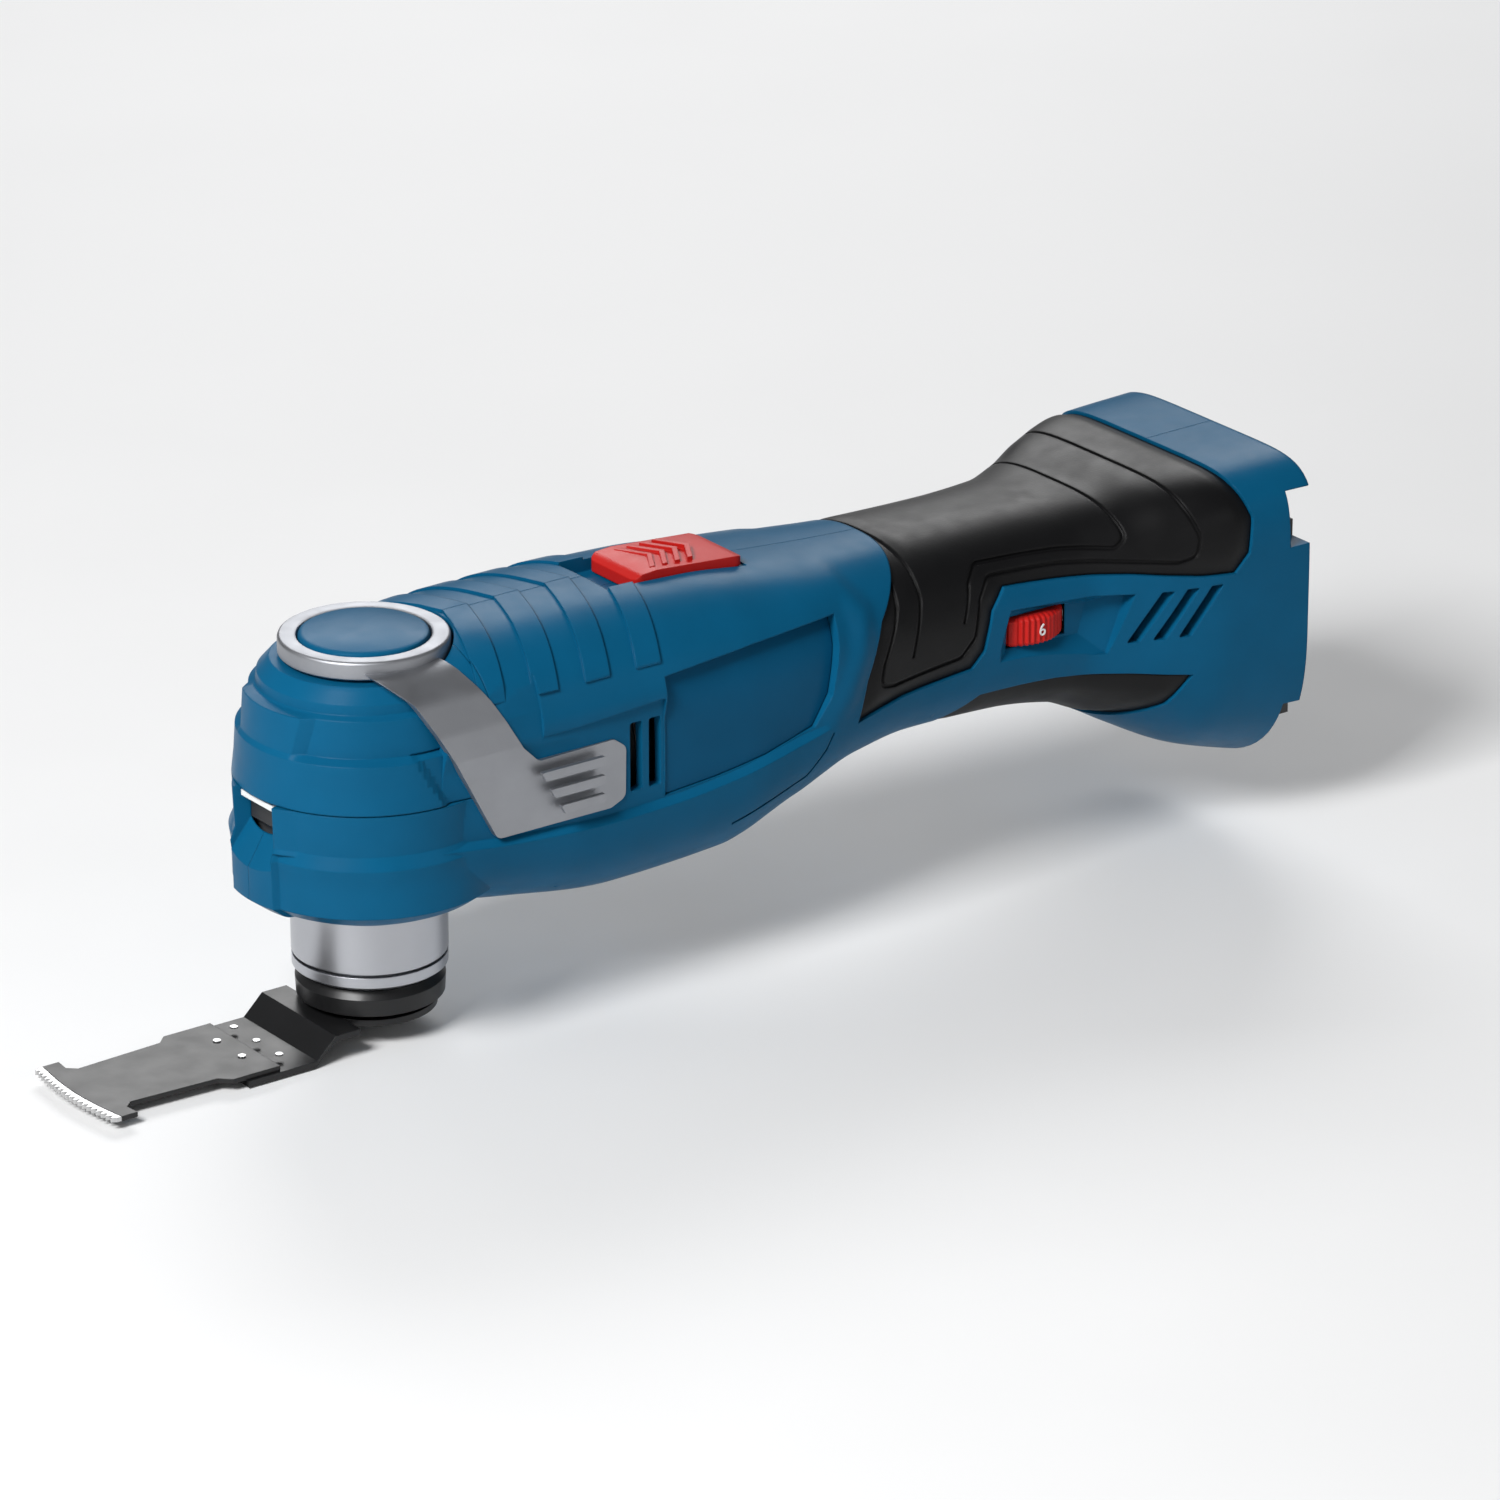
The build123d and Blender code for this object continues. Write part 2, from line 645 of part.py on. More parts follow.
def stator_coils():
    """One winding round each tooth."""
    low, high = STATOR_X
    coils = []
    for i in range(TOOTH_COUNT):
        outer = block((low - 3.0, high + 3.0), (-4.6, 4.6), (14.3, 16.8))
        inner = block((low - 0.6, high + 0.6), (-2.3, 2.3), (10, 20))
        coils.append(Pos(0, 0, MOTOR_Z) * Rot(60 * i, 0, 0) * (outer - inner))
    return group(coils)


def stator_insulators():
    """Plastic end frames that hold the windings clear of the core."""
    low, high = STATOR_X
    front = ring_x(17.7, 20.6, low - 3.4, low - TOUCH)
    rear = ring_x(17.7, 20.6, high + TOUCH, high + 3.4)
    return group([front, rear])


def hall_sensor_board():
    x = STATOR_X[1] + 3.5
    return ring_x(6.5, 20.4, x, x + 1.4)


def motor_mount():
    """Rear frame of the motor, holding its bearing."""
    low = STATOR_X[1] + 5.1
    return ring_x(6.0, 19.4, low, low + 1.8) + ring_x(8.0 + TOUCH, 10.4, low, 103.6)


def motor_bearings():
    """Front and rear ball bearings, sorted into rings and balls."""
    front = bearing_parts(-3, 3, 4.0, 11.0, 7)
    rear = bearing_parts(-2.4, 2.4, 4.0, 8.0, 7)
    outer_rings = group([lay_along_x(front[0], 36), lay_along_x(rear[0], REAR_BEARING_X)])
    inner_rings = group([lay_along_x(front[1], 36), lay_along_x(rear[1], REAR_BEARING_X)])
    balls = [lay_along_x(ball, 36) for ball in front[2].children]
    balls += [lay_along_x(ball, REAR_BEARING_X) for ball in rear[2].children]
    return outer_rings, inner_rings, group(balls)


# ------------------------------------------------------------------ electrics

def slide_switch():
    """Red slider: a low wedge with a stem and a foot under the housing's wall."""
    low, high = SLIDER_X
    wedge = [
        (low, 74.6), (high, 74.6), (high, 76.4), (high - 2, 77.2), (low + 4, 78.9), (low, 77.6),
    ]
    body = side_prism(wedge, -SLIDER_HALF, SLIDER_HALF)
    stem = block((74, 88), (-2.8, 2.8), (67.4, 74.8))
    foot = block((74, 92), (-5.0, 5.0), (66.0, 67.5))
    return body + stem + foot


def switch_link():
    """Push rod from the slider's foot to the switch."""
    rod = block((92 + TOUCH, 122), (-1.6, 1.6), (65.4, 67.0))
    hook = block((120.4, 122), (-1.6, 1.6), (58.0, 65.5))
    return rod + hook


def switch_module():
    body = block((126, 138), (-7, 7), (55.0, 63.5))
    lug = block((123.0, 126.1), (-1.5, 1.5), (57.5, 62.5))
    return body + lug


def control_board():
    return block((124, 200), (-15.5, 18), (38.6, 40.2))


def board_components():
    """Capacitors and power transistors on the control board."""
    pieces = []
    for x in (132, 142):
        pieces.append(upright(4.2, 40.2 + TOUCH, 52, x, 8))
    for i in range(6):
        x = 180 + 3.2 * (i % 3) * 2
        y = 4 if i < 3 else 12
        pieces.append(block((x, x + 4.6), (y - 2.5, y + 2.5), (40.2 + TOUCH, 42.2)))
    return group(pieces)


def heat_sink():
    base = block((176, 200), (-1.0, 17.0), (42.2 + TOUCH, 44.0))
    for i in range(5):
        fin = block((176, 200), (4.0 * i - 1.0, 4.0 * i + 0.2), (43.9, 49.5))
        base = base + fin
    return base


def speed_dial():
    """Ribbed thumbwheel on an upright axle."""
    low, high = DIAL_Z
    wheel = upright(DIAL_R - 0.5, low, high, DIAL_X, DIAL_Y)
    for i in range(DIAL_RIBS):
        angle = math.radians(360 * i / DIAL_RIBS)
        x = DIAL_X + (DIAL_R - 0.5) * math.cos(angle)
        y = DIAL_Y + (DIAL_R - 0.5) * math.sin(angle)
        wheel = wheel + upright(0.5, low, high, x, y)
    axle = upright(2.0, 41.6, high + 1.0, DIAL_X, DIAL_Y)
    dished = wheel - upright(6, high - 1.2, high + 0.2, DIAL_X, DIAL_Y)
    return dished + axle


def speed_potentiometer():
    body = block((DIAL_X - 6, DIAL_X + 6), (DIAL_Y - 0.5, DIAL_Y + 6), (40.2 + TOUCH, 43.2))
    body = body + upright(5.0, 40.2 + TOUCH, 43.2, DIAL_X, DIAL_Y)
    return body - upright(2.0 + FIT, 41.2, 50, DIAL_X, DIAL_Y)


def led_board():
    return block((-26.0, -25.0), (-6, 6), (39, 44.9))


def led_lens():
    """Clear strip under the upper edge of the front pocket."""
    return block((-28.4, -26.0 - TOUCH), (-7.5, 7.5), (43.8, 45.8))


CONTACT_LEVELS = (25.0, 30.0, 35.0, 40.0, 44.0)
CONTACT_THICK = 0.8


def battery_interface():
    """Black carrier for the contacts, with the two rails the pack hooks onto."""
    across = (-29, 29)
    plate = block((225.2, 229.4), across, (15.4, 56.7))
    rails = block((229.2, 234.6), across, (15.4, 21.5)) + block((229.2, 234.6), across, (50.7, 56.7))
    lips = block((233.0, 236.8), across, (12.2, 21.5)) + block((233.0, 236.8), across, (50.7, 60))
    stop = block((229.2, 236.0), (22, 29), (21.4, 50.8))
    frame = plate + rails + lips + stop
    for z in CONTACT_LEVELS:
        slot = block((220, 231), (-8 - TOUCH, 12 + TOUCH), (z - TOUCH, z + CONTACT_THICK + TOUCH))
        frame = frame - slot
    return frame


def battery_contacts():
    return group([block((221, 234), (-8, 12), (z, z + CONTACT_THICK)) for z in CONTACT_LEVELS])


def wire(points, radius=0.9):
    """A lead along straight runs joined by arcs."""
    path = FilletPolyline(*points, radius=2.5)
    profile = Plane(origin=path @ 0, z_dir=path % 0) * Circle(radius)
    return sweep(profile, path=path)


def motor_wires():
    """Three phase leads from the stator to the control board."""
    leads = []
    for y in (-6, 0, 6):
        path = [(98.9, y, 58.5), (107, y, 56.5), (115, y, 47), (120, y, 42.5), (126.5, y, 41.5)]
        leads.append(wire(path))
    return group(leads)


def battery_wires():
    leads = []
    for y, z in ((-3, 31.6), (3, 36.6)):
        path = [(219.8, y, z), (213, y, z), (207, y, 39.5), (201.5, y, 41.5)]
        leads.append(wire(path, 1.1))
    return group(leads)


# ------------------------------------------------------------------ accessory

BLADE_PLANE_Z = -12.3
BLADE_THICK = 1.2
CARRIER_TOP_Z = -7.6
CARRIER_THICK = 1.5
TOOTH_PITCH = 1.6


def blade_hub():
    """Star-shaped cup that sits in the bell and is gripped through its middle hole."""
    cup = turned([
        (6.9, -7.0), (13.5, -7.4), (16.4, -6.0), (16.6, -2.2), (15.2, -0.4), (10.9, -0.35),
        (10.6, 4.6), (9.0, 6.2), (6.9, 6.2),
    ])
    for i in range(12):
        cup = cup - Rot(0, 0, 30 * i + 15) * block((10.0, 14), (-0.9, 0.9), (0.2, 9))
    return cup


def crank_outline():
    """Side view of the cranked blade carrier, from the hub down to the blade's plane."""
    top = [
        (-12.5, CARRIER_TOP_Z), (-18.9, CARRIER_TOP_Z), (-23.8, BLADE_PLANE_Z), (-41.5, BLADE_PLANE_Z),
    ]
    low = [
        (-41.5, BLADE_PLANE_Z - CARRIER_THICK), (-24.4, BLADE_PLANE_Z - CARRIER_THICK),
        (-19.4, CARRIER_TOP_Z - CARRIER_THICK), (-12.5, CARRIER_TOP_Z - CARRIER_THICK),
    ]
    return top + low


def blade_carrier():
    """Folded sheet arm under the hub, in one width from hub to blade."""
    low = CARRIER_TOP_Z - CARRIER_THICK
    washer = turned([(6.9, low), (14.7, low), (14.7, CARRIER_TOP_Z), (6.9, CARRIER_TOP_Z)])
    return side_prism(crank_outline(), -14.7, 14.7) + washer


def blade_edge_x(y):
    """The blade's working end is bowed."""
    return -74.6 - 1.6 * math.cos(math.pi * y / 32)


def blade_plate():
    """Waisted saw blade, wider again at its toothed end."""
    flank = [
        (-33, 14.0), (-45, 14.0), (-47.5, 11.6), (-69, 10.6), (-71, 12.4), (-70.6, 16.0), (-74.6, 16.0),
    ]
    arc = [(blade_edge_x(y), y) for y in range(12, -13, -4)]
    other_flank = [(x, -y) for x, y in flank[::-1]]
    outline = flank + arc + other_flank
    return plan_prism(outline, BLADE_PLANE_Z + TOUCH, BLADE_PLANE_Z + BLADE_THICK)


def blade_teeth():
    """Bright strip with teeth along the blade's curved end."""
    teeth = []
    for i in range(20):
        y = -15.2 + TOOTH_PITCH * i
        x = blade_edge_x(y) - 0.9
        outline = [(x, y - 0.8), (x - 1.3, y - 0.1), (x - 1.3, y + 0.1), (x, y + 0.8)]
        teeth.append(plan_prism(outline, BLADE_PLANE_Z + 0.1, BLADE_PLANE_Z + 1.15))
    return teeth


def blade_tooth_strip():
    outline_front = []
    outline_back = []
    for i in range(9):
        y = -16 + 4 * i
        outline_front.append((blade_edge_x(y) - 1.0, y))
        outline_back.append((blade_edge_x(y) - 0.06, y))
    strip = plan_prism(outline_front + outline_back[::-1], BLADE_PLANE_Z + 0.1, BLADE_PLANE_Z + 1.15)
    for tooth in blade_teeth():
        strip = strip + tooth
    return strip


def blade_spot_welds():
    places = [(-30, -9), (-30, 0), (-30, 9), (-37, -5), (-37, 5)]
    face = BLADE_PLANE_Z + BLADE_THICK
    return group([upright(0.9, face + PRESS, face + 0.3, x, y) for x, y in places])


# ------------------------------------------------------------------ export

def build_parts():
    left, right = housing_halves()
    low_outer, low_inner, low_balls = bearing_parts(*LOWER_BEARING_Z)
    up_outer, up_inner, up_balls = bearing_parts(*UPPER_BEARING_Z)
    motor_outer, motor_inner, motor_balls = motor_bearings()
    return {
        "housing_left": left,
        "housing_right": right,
        "head_cover": head_cover(),
        "side_plate_left": side_plate(-1),
        "side_plate_right": side_plate(1),
        "grip_rubber": grip_rubber(),
        "belly_rubber": belly_rubber(),
        "underside_pad": underside_pad(),
        "housing_screws": housing_screws(),
        "gear_case": gear_case(),
        "gear_case_cover": gear_case_cover(),
        "gear_case_screws": gear_case_screws(),
        "neck_collar": neck_collar(),
        "spindle_bearing_outer_rings": group([low_outer, up_outer]),
        "spindle_bearing_inner_rings": group([low_inner, up_inner]),
        "spindle_bearing_balls": group(list(low_balls.children) + list(up_balls.children)),
        "spindle": spindle(),
        "oscillating_fork": oscillating_fork(),
        "jaw_pins": jaw_pins(),
        "clamp_jaw_front": clamp_jaw(-1),
        "clamp_jaw_rear": clamp_jaw(1),
        "release_rod": release_rod(),
        "clamp_spring": clamp_spring(),
        "lever_cam": lever_cam(),
        "lever_retaining_ring": lever_retaining_ring(),
        "clamp_lever": clamp_lever(),
        "cap_disc": cap_disc(),
        "rotor_shaft": rotor_shaft(),
        "rotor_core": rotor_core(),
        "rotor_magnets": rotor_magnets(),
        "eccentric_bush": eccentric_bush(),
        "eccentric_bearing": eccentric_bearing(),
        "cooling_fan": cooling_fan(),
        "stator_core": stator_core(),
        "stator_coils": stator_coils(),
        "stator_insulators": stator_insulators(),
        "hall_sensor_board": hall_sensor_board(),
        "motor_mount": motor_mount(),
        "motor_bearing_outer_rings": motor_outer,
        "motor_bearing_inner_rings": motor_inner,
        "motor_bearing_balls": motor_balls,
        "slide_switch": slide_switch(),
        "switch_link": switch_link(),
        "switch_module": switch_module(),
        "control_board": control_board(),
        "board_components": board_components(),
        "heat_sink": heat_sink(),
        "speed_dial": speed_dial(),
        "speed_potentiometer": speed_potentiometer(),
        "led_board": led_board(),
        "led_lens": led_lens(),
        "battery_interface": battery_interface(),
        "battery_contacts": battery_contacts(),
        "motor_wires": motor_wires(),
        "battery_wires": battery_wires(),
        "blade_hub": blade_hub(),
        "blade_carrier": blade_carrier(),
        "blade_plate": blade_plate(),
        "blade_tooth_strip": blade_tooth_strip(),
        "blade_spot_welds": blade_spot_welds(),
    }


os.makedirs("parts", exist_ok=True)
for name, shape in build_parts().items():
    export_step(shape, f"parts/{name}.step")
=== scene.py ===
import json
import math

import bmesh
import bpy
import numpy as np
from mathutils import Matrix, Vector


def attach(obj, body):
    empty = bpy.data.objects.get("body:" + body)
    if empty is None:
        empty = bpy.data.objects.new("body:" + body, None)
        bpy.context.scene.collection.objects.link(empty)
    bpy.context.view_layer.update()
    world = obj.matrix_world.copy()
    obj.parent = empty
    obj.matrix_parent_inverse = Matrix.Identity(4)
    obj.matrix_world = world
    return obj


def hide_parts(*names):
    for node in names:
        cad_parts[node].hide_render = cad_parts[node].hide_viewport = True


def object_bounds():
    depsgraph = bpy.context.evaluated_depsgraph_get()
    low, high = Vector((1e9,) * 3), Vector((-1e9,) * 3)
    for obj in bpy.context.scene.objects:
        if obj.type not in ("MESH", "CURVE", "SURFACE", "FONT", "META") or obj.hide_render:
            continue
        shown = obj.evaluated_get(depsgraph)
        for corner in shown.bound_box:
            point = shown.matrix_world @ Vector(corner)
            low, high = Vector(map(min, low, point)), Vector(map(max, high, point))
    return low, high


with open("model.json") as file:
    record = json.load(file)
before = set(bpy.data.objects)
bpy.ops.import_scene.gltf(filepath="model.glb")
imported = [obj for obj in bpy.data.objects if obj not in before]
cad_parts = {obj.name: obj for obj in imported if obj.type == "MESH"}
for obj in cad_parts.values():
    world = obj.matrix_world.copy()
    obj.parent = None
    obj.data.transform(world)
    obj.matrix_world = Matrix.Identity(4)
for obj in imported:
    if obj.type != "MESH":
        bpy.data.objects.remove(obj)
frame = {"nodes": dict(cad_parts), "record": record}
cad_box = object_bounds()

# Cordless oscillating multi tool. Shapes are made in millimetres in the frame's own
# axes and scaled to metres when they become pieces. The spindle is the Z axis, +X
# runs back to the battery foot, and the lever lies on the -Y flank.

MM = 0.001
HEAD_SEAM_Z = 46.2           # the head cap sits on the housing here
CAP_REAR_X = 14.0
FOOT_X = 237.0
RUBBER_DEPTH = 1.9           # how far the floor under the rubber lies below the surface
LEFT_FLANK = (-60, -5)       # spans of Y that hold one flank
RIGHT_FLANK = (5, 60)


# ---------------------------------------------------------------- mesh helpers

def closed_mesh(points, faces):
    """A solid's mesh with its faces turned outward."""
    mesh = bpy.data.meshes.new("shape")
    mesh.from_pydata([tuple(map(float, p)) for p in points], [], faces)
    work = bmesh.new()
    work.from_mesh(mesh)
    bmesh.ops.recalc_face_normals(work, faces=work.faces)
    work.to_mesh(mesh)
    work.free()
    return mesh


def loft(rings):
    """A solid through closed rings of equally many points, with flat ends."""
    count = len(rings[0])
    points = [p for ring in rings for p in ring]
    faces = []
    for i in range(len(rings) - 1):
        low, high = i * count, (i + 1) * count
        for j in range(count):
            k = (j + 1) % count
            faces.append((low + j, low + k, high + k, high + j))
    last = (len(rings) - 1) * count
    faces.append(tuple(range(count)))
    faces.append(tuple(last + j for j in range(count)))
    return closed_mesh(points, faces)


def joined(meshes):
    """Several separate solids in one mesh."""
    work = bmesh.new()
    for mesh in meshes:
        work.from_mesh(mesh)
    result = bpy.data.meshes.new("shape")
    work.to_mesh(result)
    work.free()
    return result


def boolean(base, tool, operation):
    scene = bpy.context.scene
    kept = bpy.data.objects.new("base", base)
    other = bpy.data.objects.new("tool", tool)
    for obj in (kept, other):
        scene.collection.objects.link(obj)
    modifier = kept.modifiers.new("boolean", "BOOLEAN")
    modifier.operation = operation
    modifier.solver = "MANIFOLD"
    modifier.object = other
    graph = bpy.context.evaluated_depsgraph_get()
    result = bpy.data.meshes.new_from_object(kept.evaluated_get(graph))
    for obj in (kept, other):
        bpy.data.objects.remove(obj)
    return result


def cut(base, *tools):
    for tool in tools:
        base = boolean(base, tool, "DIFFERENCE")
    return base


def common(base, tool):
    return boolean(base, tool, "INTERSECT")


def merged(base, *tools):
    for tool in tools:
        base = boolean(base, tool, "UNION")
    return base


def rounded(outline, radius, steps=5, closed=True):
    """An outline with its corners rounded by arcs."""
    points = [Vector(p) for p in outline]
    result = []
    count = len(points)
    for i, corner in enumerate(points):
        if not closed and i in (0, count - 1):
            result.append(tuple(corner))
            continue
        before = points[i - 1] - corner
        after = points[(i + 1) % count] - corner
        half_angle = before.angle(after) / 2
        if half_angle > math.radians(88):
            result.append(tuple(corner))
            continue
        reach = min(radius / math.tan(half_angle), 0.45 * before.length, 0.45 * after.length)
        start = corner + before.normalized() * reach
        end = corner + after.normalized() * reach
        for s in range(steps + 1):
            t = s / steps
            result.append(tuple((1 - t) ** 2 * start + 2 * t * (1 - t) * corner + t * t * end))
    return result


def shrunk(outline, distance):
    """The outline moved inward by a distance (outward if it is negative)."""
    points = [Vector(p) for p in outline]
    count = len(points)
    area = sum(points[i - 1].x * points[i].y - points[i].x * points[i - 1].y for i in range(count))
    turn = 1 if area > 0 else -1
    result = []
    for i, corner in enumerate(points):
        along_in = (corner - points[i - 1]).normalized()
        along_out = (points[(i + 1) % count] - corner).normalized()
        normal_in = Vector((-along_in.y, along_in.x)) * turn
        normal_out = Vector((-along_out.y, along_out.x)) * turn
        middle = (normal_in + normal_out).normalized()
        result.append(tuple(corner + middle * distance / max(middle.dot(normal_in), 0.4)))
    return result


def side_prism(outline, low_y, high_y):
    """An (x, z) outline given thickness along Y."""
    return loft([[(x, y, z) for x, z in outline] for y in (low_y, high_y)])


def plan_prism(outline, low_z, high_z):
    """An (x, y) outline given thickness along Z."""
    return loft([[(x, y, z) for x, y in outline] for z in (low_z, high_z)])


def block(x, y, z):
    return plan_prism([(x[0], y[0]), (x[1], y[0]), (x[1], y[1]), (x[0], y[1])], z[0], z[1])


def circle(radius, a, b, steps):
    turn = 2 * math.pi / steps
    return [(a + radius * math.cos(i * turn), b + radius * math.sin(i * turn)) for i in range(steps)]


def disc(radius, low_z, high_z, x=0.0, y=0.0):
    return plan_prism(circle(radius, x, y, 96), low_z, high_z)


def rod_along_y(radius, low_y, high_y, x, z):
    return side_prism(circle(radius, x, z, 40), low_y, high_y)


def turned(profile, steps=160):
    """A closed (radius, height) profile turned about the spindle's axis."""
    points = []
    for i in range(steps):
        angle = 2 * math.pi * i / steps
        points += [(r * math.cos(angle), r * math.sin(angle), z) for r, z in profile]
    count = len(profile)
    faces = []
    for i in range(steps):
        for j in range(count):
            a, b = i * count + j, i * count + (j + 1) % count
            c, d = ((i + 1) % steps) * count + (j + 1) % count, ((i + 1) % steps) * count + j
            faces.append((a, b, c, d))
    mesh = closed_mesh(points, faces)
    work = bmesh.new()
    work.from_mesh(mesh)
    bmesh.ops.remove_doubles(work, verts=work.verts, dist=1e-4)
    bmesh.ops.recalc_face_normals(work, faces=work.faces)
    work.to_mesh(mesh)
    work.free()
    return mesh


def with_even_normals(obj):
    """Weights the shading normals by face area, so that flat faces stay flat beside bends."""
    modifier = obj.modifiers.new("even", "WEIGHTED_NORMAL")
    modifier.keep_sharp = True
    graph = bpy.context.evaluated_depsgraph_get()
    result = bpy.data.meshes.new_from_object(obj.evaluated_get(graph))
    obj.modifiers.clear()
    return result


def piece(name, mesh, body, node, material, smooth=30):
    """Turns a mesh in millimetres into a finished piece that stands for a CAD node, if one is given."""
    mesh.transform(Matrix.Scale(MM, 4))
    mesh.name = name
    mesh.materials.clear()
    mesh.materials.append(material)
    obj = bpy.data.objects.new(name, mesh)
    bpy.context.scene.collection.objects.link(obj)
    obj.data.shade_smooth()
    obj.data.set_sharp_from_angle(angle=math.radians(smooth))
    obj.data = with_even_normals(obj)
    obj.data.name = name
    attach(obj, body)
    if node:
        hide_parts(node)


def smooth_step(low, high, value):
    t = np.clip((value - low) / (high - low), 0, 1)
    return t * t * (3 - 2 * t)


def curve_through(xs, ys):
    """A smooth curve through points that never overshoots them."""
    xs, ys = np.array(xs, float), np.array(ys, float)
    gaps, slopes = np.diff(xs), np.diff(ys) / np.diff(xs)
    tangents = np.zeros(len(xs))
    for i in range(1, len(xs) - 1):
        if slopes[i - 1] * slopes[i] > 0:
            tangents[i] = 2 / (1 / slopes[i - 1] + 1 / slopes[i])
    tangents[0], tangents[-1] = slopes[0], slopes[-1]

    def curve(x):
        i = int(np.clip(np.searchsorted(xs, x) - 1, 0, len(gaps) - 1))
        t = np.clip((x - xs[i]) / gaps[i], 0, 1)
        start = (1 + 2 * t) * (1 - t) ** 2 * ys[i] + t * (1 - t) ** 2 * gaps[i] * tangents[i]
        end = t * t * (3 - 2 * t) * ys[i + 1] + t * t * (t - 1) * gaps[i] * tangents[i + 1]
        return float(start + end)
    return curve


def distance_to_path(x, z, path, closed=False):
    """Distance from each (x, z) to a run of straight lines, and how far along it that is, 0 to 1."""
    best = np.full(len(x), 1e9)
    along = np.zeros(len(x))
    ends = path[1:] + path[:1] if closed else path[1:]
    count = len(ends)
    for i in range(count):
        (ax, az), (bx, bz) = path[i], ends[i]
        length = (bx - ax) ** 2 + (bz - az) ** 2
        t = np.clip(((x - ax) * (bx - ax) + (z - az) * (bz - az)) / length, 0, 1)
        away = np.hypot(x - ax - t * (bx - ax), z - az - t * (bz - az))
        nearer = away < best
        best[nearer] = away[nearer]
        along[nearer] = (i + t[nearer]) / count
    return best, along


def inside_outline(x, z, outline):
    """Which (x, z) lie inside an outline."""
    inside = np.zeros(len(x), bool)
    for i in range(len(outline)):
        (ax, az), (bx, bz) = outline[i - 1], outline[i]
        crosses = (az > z) != (bz > z)
        where = ax + (z - az) * (bx - ax) / (bz - az if bz != az else 1e-9)
        inside ^= crosses & (x < where)
    return inside


# ---------------------------------------------------------------- materials

def shader(name):
    material = bpy.data.materials.new(name)
    material.use_nodes = True
    nodes = material.node_tree.nodes
    return material, nodes, material.node_tree.links, nodes["Principled BSDF"]


def noise_texture(nodes, links, scale, detail=3.0, stretch=None):
    """Noise in the object's own metres, optionally stretched along its axes."""
    place = nodes.new("ShaderNodeTexCoord")
    texture = nodes.new("ShaderNodeTexNoise")
    texture.inputs["Scale"].default_value = scale
    texture.inputs["Detail"].default_value = detail
    source = place.outputs["Object"]
    if stretch:
        mapping = nodes.new("ShaderNodeMapping")
        mapping.inputs["Scale"].default_value = stretch
        links.new(source, mapping.inputs["Vector"])
        source = mapping.outputs["Vector"]
    links.new(source, texture.inputs["Vector"])
    return texture.outputs["Fac"]


def spread(nodes, links, source, low, high):
    """Maps noise to a range of values."""
    node = nodes.new("ShaderNodeMapRange")
    node.inputs["From Min"].default_value = 0.3
    node.inputs["From Max"].default_value = 0.7
    node.inputs["To Min"].default_value = low
    node.inputs["To Max"].default_value = high
    links.new(source, node.inputs["Value"])
    return node.outputs["Result"]


def tinted(nodes, links, source, dark, light):
    """Mixes two colours by noise."""
    ramp = nodes.new("ShaderNodeValToRGB")
    ramp.color_ramp.elements[0].position = 0.3
    ramp.color_ramp.elements[1].position = 0.7
    ramp.color_ramp.elements[0].color = (*dark, 1)
    ramp.color_ramp.elements[1].color = (*light, 1)
    links.new(source, ramp.inputs["Fac"])
    return ramp.outputs["Color"]


def surface(name, colour, roughness, metallic=0.0, grain=2500, depth=0.00002, mottle=60,
            vary=0.06, edge=0.0003, stretch=None, rough_range=0.04, specular=0.5):
    """A material with mottled colour and roughness, a fine grain and softened edges."""
    material, nodes, links, bsdf = shader(name)
    mottled = noise_texture(nodes, links, mottle, 4)
    dark = [c * (1 - vary) for c in colour]
    light = [min(c * (1 + vary), 1) for c in colour]
    links.new(tinted(nodes, links, mottled, dark, light), bsdf.inputs["Base Color"])
    fine = noise_texture(nodes, links, grain, 2, stretch)
    patchy = noise_texture(nodes, links, mottle * 3, 5, stretch)
    links.new(spread(nodes, links, patchy, roughness - rough_range, roughness + rough_range),
              bsdf.inputs["Roughness"])
    bump = nodes.new("ShaderNodeBump")
    bump.inputs["Strength"].default_value = 1.0
    bump.inputs["Distance"].default_value = depth
    links.new(fine, bump.inputs["Height"])
    if edge:
        soft = nodes.new("ShaderNodeBevel")
        soft.samples = 4
        soft.inputs["Radius"].default_value = edge
        links.new(soft.outputs["Normal"], bump.inputs["Normal"])
    links.new(bump.outputs["Normal"], bsdf.inputs["Normal"])
    bsdf.inputs["Metallic"].default_value = metallic
    bsdf.inputs["Specular IOR Level"].default_value = specular
    return material


BLUE = (0.0028, 0.092, 0.195)

